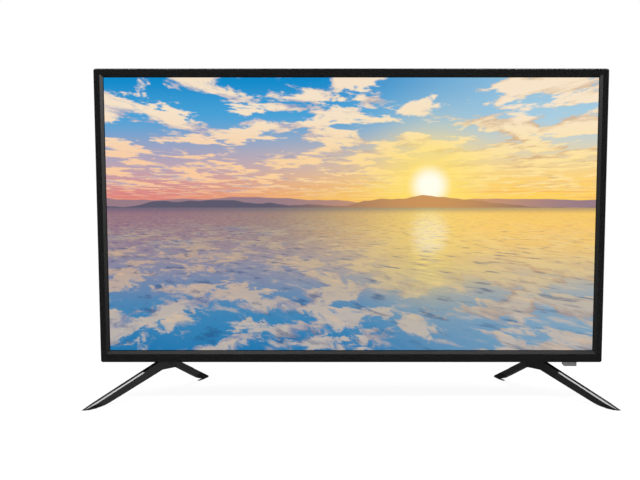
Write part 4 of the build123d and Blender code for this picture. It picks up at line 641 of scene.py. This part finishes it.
# The jacks' rings and sleeves: distance from the cover's wall, and radius
RING_OUTLINE = (
    (0.00005, 0.0042), (0.0009, 0.0042), (0.0012, 0.0045),
    (0.0012, 0.0054), (0.0009, 0.0057), (0.00005, 0.0057),
)
SLEEVE_OUTLINE = (
    (0.0012, 0.00419), (0.0086, 0.00419), (0.00905, 0.0038),
    (0.00905, 0.0029), (0.0089, 0.0029), (0.0089, 0.0041),
)
RING_COLOURS = (("red", (0.45, 0.01, 0.01)), ("white", (0.75, 0.75, 0.73)), ("yellow", (0.75, 0.5, 0.02)))
RING_ROUGHNESS = 0.4

# Contacts: their count, pitch, half width and length behind the mouth of their socket
CONTACT_INSET = 0.0018
HDMI_COUNT, HDMI_PITCH, HDMI_HALF_WIDTH, HDMI_REACH = 10, 0.001, 0.0002, 0.008
HDMI_TONGUE_HALF = 0.00049
HDMI_HALF_THICKNESS = 0.00004
USB_COUNT, USB_PITCH, USB_HALF_WIDTH, USB_REACH = 4, 0.0023, 0.0005, 0.010
USB_TONGUE_FACE = 0.0029
USB_THICKNESS = 0.0001


def only(obj):
    """Makes an object the only one selected and the active one."""
    bpy.ops.object.select_all(action="DESELECT")
    obj.select_set(True)
    bpy.context.view_layer.objects.active = obj


def settle(obj):
    """Applies an object's place, turn and size to its mesh."""
    only(obj)
    bpy.ops.object.transform_apply(location=True, rotation=True, scale=True)
    return obj


def block(name, low, high, bevel=0.0):
    """A box between two corners, with its edges bevelled where asked."""
    bpy.ops.object.select_all(action="DESELECT")
    bpy.ops.mesh.primitive_cube_add(size=1.0, location=(Vector(low) + Vector(high)) / 2)
    obj = bpy.context.object
    obj.name = name
    obj.scale = Vector(high) - Vector(low)
    settle(obj)
    if bevel:
        bpy.ops.object.mode_set(mode="EDIT")
        bpy.ops.mesh.select_all(action="SELECT")
        bpy.ops.mesh.bevel(offset=bevel, segments=2)
        bpy.ops.object.mode_set(mode="OBJECT")
    return obj


def turned(name, outline, start, axis, steps=48):
    """A turned piece: an outline of distance along the axis and radius, spun about the axis."""
    bpy.ops.object.select_all(action="DESELECT")
    bpy.ops.mesh.primitive_plane_add(size=SEED_FACE, location=(0, 0, 0))
    obj = bpy.context.object
    obj.name = name
    bpy.ops.object.mode_set(mode="EDIT")
    bpy.ops.mesh.select_all(action="SELECT")
    bpy.ops.mesh.merge(type="CENTER")
    along, radius = outline[0]
    bpy.ops.transform.translate(value=(radius, 0, along))
    for (before, inner), (after, outer) in zip(outline, outline[1:]):
        step = (outer - inner, 0, after - before)
        bpy.ops.mesh.extrude_region_move(TRANSFORM_OT_translate={"value": step})
    bpy.ops.mesh.select_all(action="SELECT")
    bpy.ops.mesh.spin(steps=steps, angle=math.tau, center=(0, 0, 0), axis=(0, 0, 1))
    bpy.ops.mesh.select_all(action="SELECT")
    bpy.ops.mesh.remove_doubles(threshold=TURNED_WELD)
    bpy.ops.mesh.normals_make_consistent(inside=False)
    bpy.ops.object.mode_set(mode="OBJECT")
    obj.matrix_world = aimed(start, axis)
    settle(obj)
    bpy.ops.object.shade_smooth_by_angle(angle=SMOOTH_ANGLE)
    return obj


def aimed(start, axis):
    """The placement that carries the origin to start and +Z to axis."""
    return Matrix.Translation(start) @ Vector(axis).to_track_quat("Z", "Y").to_matrix().to_4x4()


def islands(name):
    """The lowest and highest corner of each separate solid of a CAD node."""
    mesh = bmesh.new()
    mesh.from_mesh(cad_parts[name].data)
    bmesh.ops.remove_doubles(mesh, verts=mesh.verts, dist=NODE_WELD)
    left, found = set(mesh.verts), []
    while left:
        waiting = [left.pop()]
        group = []
        while waiting:
            vertex = waiting.pop()
            group.append(vertex.co.copy())
            for edge in vertex.link_edges:
                other = edge.other_vert(vertex)
                if other in left:
                    left.remove(other)
                    waiting.append(other)
        found.append((Vector(map(min, zip(*group))), Vector(map(max, zip(*group)))))
    mesh.free()
    return sorted(found, key=lambda box: tuple(round(c, 4) for c in box[0]))


def finish_piece(obj, material, slot, *nodes):
    """Gives a new piece its finish and its body, and hides the CAD nodes it stands for."""
    obj.data.materials.clear()
    obj.data.materials.append(material)
    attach(obj, BODY)
    if nodes:
        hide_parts(*nodes)
    return obj


def joined(name, pieces):
    """Several pieces as one object."""
    bpy.ops.object.select_all(action="DESELECT")
    for piece in pieces:
        piece.select_set(True)
    bpy.context.view_layer.objects.active = pieces[0]
    bpy.ops.object.join()
    pieces[0].name = name
    return pieces[0]


def repeated(model, name, spots, axis):
    """Copies of a piece at several places along one axis, joined as one, with the model taken away."""
    copies = []
    for start in spots:
        copy = model.copy()
        copy.data = model.data.copy()
        bpy.context.collection.objects.link(copy)
        copy.matrix_world = aimed(start, axis)
        copies.append(settle(copy))
    bpy.data.objects.remove(model)
    return joined(name, copies)


def cross_screw(name, head, head_height, length):
    """A screw along its own Z with a domed head and a cross recess; the head's seat is at 0."""
    shank = head * SHANK_RADIUS
    dome = head_height * DOME_HEIGHT
    outline = [
        (-length, 0.0), (-length, shank), (0.0, shank), (0.0, head), (head_height - dome, head),
        (head_height - dome * SHOULDER_DROP, head * SHOULDER_RADIUS),
        (head_height, head * CROWN_RADIUS), (head_height, 0.0),
    ]
    screw = turned(name, outline, (0, 0, 0), (0, 0, 1), steps=SCREW_STEPS)
    long = head * RECESS_REACH
    wide = long * RECESS_WIDTH
    bottom, top = head_height - head_height * RECESS_DEPTH, head_height * RECESS_OVERRUN
    for turn in (0.0, math.pi / 2):
        cutter = block("cutter", (-long, -wide, bottom), (long, wide, top))
        cutter.matrix_world = Matrix.Rotation(turn + math.pi / 4, 4, "Z")
        settle(cutter)
        only(screw)
        cut = screw.modifiers.new("recess", "BOOLEAN")
        cut.operation = "DIFFERENCE"
        cut.object = cutter
        bpy.ops.object.modifier_apply(modifier=cut.name)
        bpy.data.objects.remove(cutter)
    return screw


class MetalSettings(bpy.types.PropertyGroup):
    """The metals and the small pieces."""

    steel_colour: bpy.props.FloatVectorProperty(
        name="Sheet Steel", description="Colour of the sheet steel",
        subtype="COLOR", size=3, default=(0.55, 0.56, 0.57),
    )
    plated_colour: bpy.props.FloatVectorProperty(
        name="Plated Steel", description="Colour of the plated steel",
        subtype="COLOR", size=3, default=(0.68, 0.68, 0.69),
    )
    screw_colour: bpy.props.FloatVectorProperty(
        name="Screws", description="Colour of the blackened screws",
        subtype="COLOR", size=3, default=(0.07, 0.07, 0.072),
    )
    thread_pitch: bpy.props.FloatProperty(
        name="Stud Thread Pitch", description="Distance between the stud's threads",
        default=0.0008, unit="LENGTH",
    )
    thread_depth: bpy.props.FloatProperty(
        name="Stud Thread Depth", description="Depth of the stud's threads",
        default=0.0004, unit="LENGTH",
    )


class TV_OT_screws(bpy.types.Operator):
    """Builds the cover's and the legs' screws with their cross recesses"""

    bl_idname = "tv.screws"
    bl_label = "Screws"

    def execute(self, context):
        black = surface("screw_black", context.scene.tv_metals.screw_colour, 0.32, metallic=1.0)
        for node, axis, head_share in SCREWS:
            boxes = islands(node)
            upright = axis[2] != 0
            span = boxes[0][1] - boxes[0][0]
            length = span.z if upright else span.y
            head_height = length * head_share
            spots = []
            for low, high in boxes:
                middle = (low + high) / 2
                if upright:
                    spots.append((middle.x, middle.y, low.z + head_height))
                else:
                    spots.append((middle.x, high.y - head_height, middle.z))
            model = cross_screw("model", span.x / 2, head_height, length - head_height)
            finish_piece(repeated(model, node + "_cross", spots, axis), black, "screw_steel", node)
        return {"FINISHED"}


class TV_OT_sockets(bpy.types.Operator):
    """Builds the aerial stud's thread, the jacks' rings and sleeves, and the sockets' contacts"""

    bl_idname = "tv.sockets"
    bl_label = "Socket Details"

    def execute(self, context):
        plated = bpy.data.materials["plated_steel"]
        gold = surface("gold_contacts", (0.83, 0.62, 0.24), 0.25, metallic=1.0)
        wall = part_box("hdmi_sockets")[1].x
        self.stud(context.scene.tv_metals, plated, wall)
        self.rings(plated, wall)
        self.contacts(gold)
        return {"FINISHED"}

    def stud(self, look, plated, wall):
        """The screened can with its collar, threaded stud and bore."""
        low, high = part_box("tuner")
        middle = (low + high) / 2
        start = wall - CAN_SETBACK
        shoulder = wall - start + COLLAR_PROUD
        along = wall - start + STUD_NECK
        end = high.x - start
        bottom = end - STUD_BORE_DEPTH
        can = block("tuner_can", low, (start, high.y, high.z), bevel=CAN_BEVEL)
        outline = [(0.0, 0.0), (0.0, COLLAR_RADIUS), (shoulder, COLLAR_RADIUS)]
        outline += [(shoulder, STUD_RADIUS), (along, STUD_RADIUS)]
        while along + look.thread_pitch < end - STUD_LEAD:
            outline.append((along + look.thread_pitch / 2, STUD_RADIUS - look.thread_depth))
            outline.append((along + look.thread_pitch, STUD_RADIUS))
            along += look.thread_pitch
        outline += [(end, STUD_RADIUS - STUD_BEVEL), (end, STUD_BORE), (bottom, STUD_BORE), (bottom, 0.0)]
        stud = turned("stud", outline, (start, middle.y, middle.z), (1, 0, 0))
        finish_piece(joined("tuner_can", [can, stud]), plated, "socket_steel", "tuner")

    def rings(self, plated, wall):
        """The ring of colour round each audio and video jack, and the jack's plated sleeve."""
        low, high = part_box("av_jacks")
        middle_y = (low.y + high.y) / 2
        pitch = (high.z - low.z) / len(RING_COLOURS)
        for index, (tint, colour) in enumerate(RING_COLOURS):
            foot = (wall, middle_y, low.z + pitch * (index + 0.5))
            ring = turned(f"jack_ring_{tint}", RING_OUTLINE, foot, (1, 0, 0))
            finish_piece(ring, surface(f"jack_{tint}", colour, RING_ROUGHNESS), "socket_black")
            sleeve = turned(f"jack_sleeve_{index + 1}", SLEEVE_OUTLINE, foot, (1, 0, 0))
            finish_piece(sleeve, plated, "socket_steel")

    def contacts(self, gold):
        """The rows of contacts on the tongues of the HDMI and USB sockets."""
        pieces = []
        for low, high in islands("hdmi_sockets"):
            middle = (low + high) / 2
            back, front = high.x - HDMI_REACH, high.x - CONTACT_INSET
            for index in range(HDMI_COUNT):
                z = middle.z + (index - (HDMI_COUNT - 1) / 2) * HDMI_PITCH
                for side in (-1, 1):
                    y = middle.y + side * HDMI_TONGUE_HALF
                    under = (back, y - HDMI_HALF_THICKNESS, z - HDMI_HALF_WIDTH)
                    over = (front, y + HDMI_HALF_THICKNESS, z + HDMI_HALF_WIDTH)
                    pieces.append(block("contact", under, over))
        low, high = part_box("usb_socket")
        middle = (low + high) / 2
        back, front = high.x - USB_REACH, high.x - CONTACT_INSET
        tongue = low.y + USB_TONGUE_FACE
        for index in range(USB_COUNT):
            z = middle.z + (index - (USB_COUNT - 1) / 2) * USB_PITCH
            under = (back, tongue, z - USB_HALF_WIDTH)
            over = (front, tongue + USB_THICKNESS, z + USB_HALF_WIDTH)
            pieces.append(block("contact", under, over))
        finish_piece(joined("socket_contacts", pieces), gold, "socket_steel")


# The stage, in metres

# Lamps: place, aim and size; the side and edge lamps are at the right, and mirrored at the left
TOP_LAMP = ((0, 0.1, 2.2), (0, 0, 0.2), (2.4, 1.4))
SIDE_LAMP = ((2.2, -1.2, 1.2), (0, 0, 0.25), (1.0, 1.4))
EDGE_LAMP = ((0.45, -0.25, 1.96), (-0.33, -0.06, 0.03), (0.5, 0.5))

# Where the room turns dim in reflections, by how far a direction points ahead or behind, down, up and left
WHITE = (1.0, 1.0, 1.0, 1.0)
DIM_AHEAD = 0.60, 0.90
DIM_BELOW = 0.03, 0.17
DIM_ABOVE = 0.50, 0.80
DIM_LEFT, DIM_LEFT_SHARE = (0.20, 0.60), 0.75

# The floor, and how much of the object's shadow it shows up to a distance from the middle
FLOOR_SIZE = 14.0
FLOOR_COLOUR = (0.9, 0.9, 0.9, 1.0)
FLOOR_ROUGHNESS = 0.8
SHADOW_SHARE, SHADOW_FADE = 0.07, (0.45, 1.1)

# The width of the camera's sensor in millimetres
SENSOR_WIDTH = 36.0


class StageSettings(bpy.types.PropertyGroup):
    """The camera, lamps and floor."""

    distance: bpy.props.FloatProperty(
        name="Camera Distance", description="From the camera to the bezel's middle",
        default=2.00, unit="LENGTH",
    )
    pitch: bpy.props.FloatProperty(
        name="Camera Pitch", description="How far the camera looks down",
        default=math.radians(8.32), subtype="ANGLE",
    )
    lens: bpy.props.FloatProperty(
        name="Focal Length", description="Focal length on a 36 mm sensor", default=78.72
    )
    shift_x: bpy.props.FloatProperty(
        name="Shift Across", description="Camera shift across", default=-0.0489
    )
    aim_height: bpy.props.FloatProperty(
        name="Aim Height", description="Height of the point that the camera aims at",
        default=0.2314, unit="LENGTH",
    )
    top_light: bpy.props.FloatProperty(
        name="Top Light", description="Power of the overhead lamp", default=60.0, unit="POWER"
    )
    side_light: bpy.props.FloatProperty(
        name="Side Lights", description="Power of each side lamp", default=12.0, unit="POWER"
    )
    edge_light: bpy.props.FloatProperty(
        name="Edge Lights", description="Power of each small lamp over the legs", default=24.0, unit="POWER"
    )
    ambient: bpy.props.FloatProperty(
        name="Ambient", description="Light from all round", default=0.5, subtype="FACTOR"
    )
    room_light: bpy.props.FloatProperty(
        name="Room", description="How light the room is where reflections show it dim",
        default=0.08, subtype="FACTOR",
    )


def lamp(name, spot, aim, size, power):
    """A soft rectangular lamp that points at a place."""
    data = bpy.data.lights.new(name, "AREA")
    data.shape = "RECTANGLE"
    data.size, data.size_y = size
    data.energy = power
    obj = bpy.data.objects.new(name, data)
    bpy.context.collection.objects.link(obj)
    obj.location = spot
    obj.rotation_euler = (Vector(aim) - Vector(spot)).to_track_quat("-Z", "Y").to_euler()
    return obj


def lamp_pair(name, spot, aim, size, power):
    """A lamp at the left and its mirror image at the right."""
    for side in (-1, 1):
        lamp(f"{name}_{side + 2}", (side * spot[0], *spot[1:]), (side * aim[0], *aim[1:]), size, power)


def white_where_seen(tree, lit, white, share):
    """Mixes a lit shader with plain white for camera, glossy and transmission rays."""
    path = tree.nodes.new("ShaderNodeLightPath")
    seen = Value(tree, path.outputs["Is Camera Ray"])
    seen = seen.largest(Value(tree, path.outputs["Is Glossy Ray"]))
    seen = seen.largest(Value(tree, path.outputs["Is Transmission Ray"]))
    mix = tree.nodes.new("ShaderNodeMixShader")
    feed(tree, mix.inputs[0], seen * share)
    tree.links.new(lit, mix.inputs[1])
    tree.links.new(white, mix.inputs[2])
    return mix.outputs[0]


class TV_OT_stage(bpy.types.Operator):
    """Builds the floor, lamps, world and camera"""

    bl_idname = "tv.stage"
    bl_label = "Stage"

    def execute(self, context):
        look = context.scene.tv_stage
        self.world(look)
        self.floor()
        self.camera(look)
        lamp("top_lamp", *TOP_LAMP, look.top_light).visible_glossy = False
        lamp_pair("side_lamp", *SIDE_LAMP, look.side_light)
        lamp_pair("edge_lamp", *EDGE_LAMP, look.edge_light)
        context.scene.view_settings.view_transform = "Standard"
        return {"FINISHED"}

    def world(self, look):
        """White where it is seen, an even light on the object, and in reflections white only at the right."""
        world = bpy.data.worlds.new("studio")
        bpy.context.scene.world = world
        world.use_nodes = True
        tree = world.node_tree
        light = tree.nodes["Background"]
        light.inputs["Color"].default_value = WHITE
        light.inputs["Strength"].default_value = look.ambient
        white = tree.nodes.new("ShaderNodeBackground")
        x, y, z = place(tree)
        dim = y.math("ABSOLUTE").rise(*DIM_AHEAD)
        dim = dim.largest((0.0 - z).rise(*DIM_BELOW)).largest(z.rise(*DIM_ABOVE))
        dim = dim.largest((0.0 - x).rise(*DIM_LEFT) * DIM_LEFT_SHARE)
        gloss = Value(tree, tree.nodes.new("ShaderNodeLightPath").outputs["Is Glossy Ray"])
        room = (look.room_light, look.room_light, look.room_light, 1.0)
        feed(tree, white.inputs["Color"], mixed(tree, dim * gloss, WHITE, room))
        shown = white_where_seen(tree, light.outputs[0], white.outputs[0], 1.0)
        tree.links.new(shown, tree.nodes["World Output"].inputs[0])

    def floor(self):
        """A wide pale floor, white where it is seen, that keeps the object's shadow."""
        bpy.ops.object.select_all(action="DESELECT")
        bpy.ops.mesh.primitive_plane_add(size=FLOOR_SIZE, location=(0, 0, 0))
        obj = bpy.context.object
        obj.name = "floor"
        material, tree, shader = new_material("floor_white")
        shader.inputs["Base Color"].default_value = FLOOR_COLOUR
        shader.inputs["Roughness"].default_value = FLOOR_ROUGHNESS
        white = tree.nodes.new("ShaderNodeEmission")
        white.inputs["Strength"].default_value = 1.0
        x, y, _ = place(tree)
        away = (x * x + y * y) ** 0.5
        share = away.rise(*SHADOW_FADE) * SHADOW_SHARE + (1.0 - SHADOW_SHARE)
        shown = white_where_seen(tree, shader.outputs[0], white.outputs[0], share)
        tree.links.new(shown, tree.nodes["Material Output"].inputs[0])
        obj.data.materials.append(material)
        obj.visible_glossy = False

    def camera(self, look):
        """The long lens that looks down on the middle of the front."""
        data = bpy.data.cameras.new("camera")
        data.sensor_width = SENSOR_WIDTH
        data.lens = look.lens
        data.shift_x = look.shift_x
        obj = bpy.data.objects.new("camera", data)
        bpy.context.collection.objects.link(obj)
        aim = Vector((0.0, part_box("front_bezel")[0].y, look.aim_height))
        away = Vector((0.0, -math.cos(look.pitch), math.sin(look.pitch)))
        obj.location = aim + away * look.distance
        obj.rotation_euler = (math.pi / 2 - look.pitch, 0.0, 0.0)
        bpy.context.scene.camera = obj


class TV_PT_panel(bpy.types.Panel):
    """The television's looks"""

    bl_idname = "TV_PT_panel"
    bl_label = "Television"
    bl_space_type = "VIEW_3D"
    bl_region_type = "UI"
    bl_category = "Television"

    def draw(self, context):
        for settings, operators in PANEL_ROWS:
            box = self.layout.box()
            group = getattr(context.scene, settings)
            for name in group.bl_rna.properties.keys():
                if name not in ("rna_type", "name"):
                    box.prop(group, name)
            for operator in operators:
                box.operator(operator)


PANEL_ROWS = (
    ("tv_picture", ("tv.picture",)),
    ("tv_mouldings", ("tv.mouldings",)),
    ("tv_metals", ("tv.inside", "tv.screws", "tv.sockets")),
    ("tv_stage", ("tv.stage",)),
)
SETTINGS = {
    "tv_picture": PictureSettings,
    "tv_mouldings": MouldingSettings,
    "tv_metals": MetalSettings,
    "tv_stage": StageSettings,
}
CLASSES = (
    *SETTINGS.values(),
    TV_OT_picture,
    TV_OT_mouldings,
    TV_OT_inside,
    TV_OT_screws,
    TV_OT_sockets,
    TV_OT_stage,
    TV_PT_panel,
)


def register():
    """Registers the classes and the settings."""
    for item in CLASSES:
        bpy.utils.register_class(item)
    for name, group in SETTINGS.items():
        setattr(bpy.types.Scene, name, bpy.props.PointerProperty(type=group))


def unregister():
    """Removes the settings and the classes."""
    for name in SETTINGS:
        delattr(bpy.types.Scene, name)
    for item in reversed(CLASSES):
        bpy.utils.unregister_class(item)


def main():
    """Dresses the part piece by piece."""
    register()
    bpy.ops.tv.picture()
    bpy.ops.tv.mouldings()
    bpy.ops.tv.inside()
    bpy.ops.tv.screws()
    bpy.ops.tv.sockets()
    bpy.ops.tv.stage()


if __name__ == "__main__":
    main()
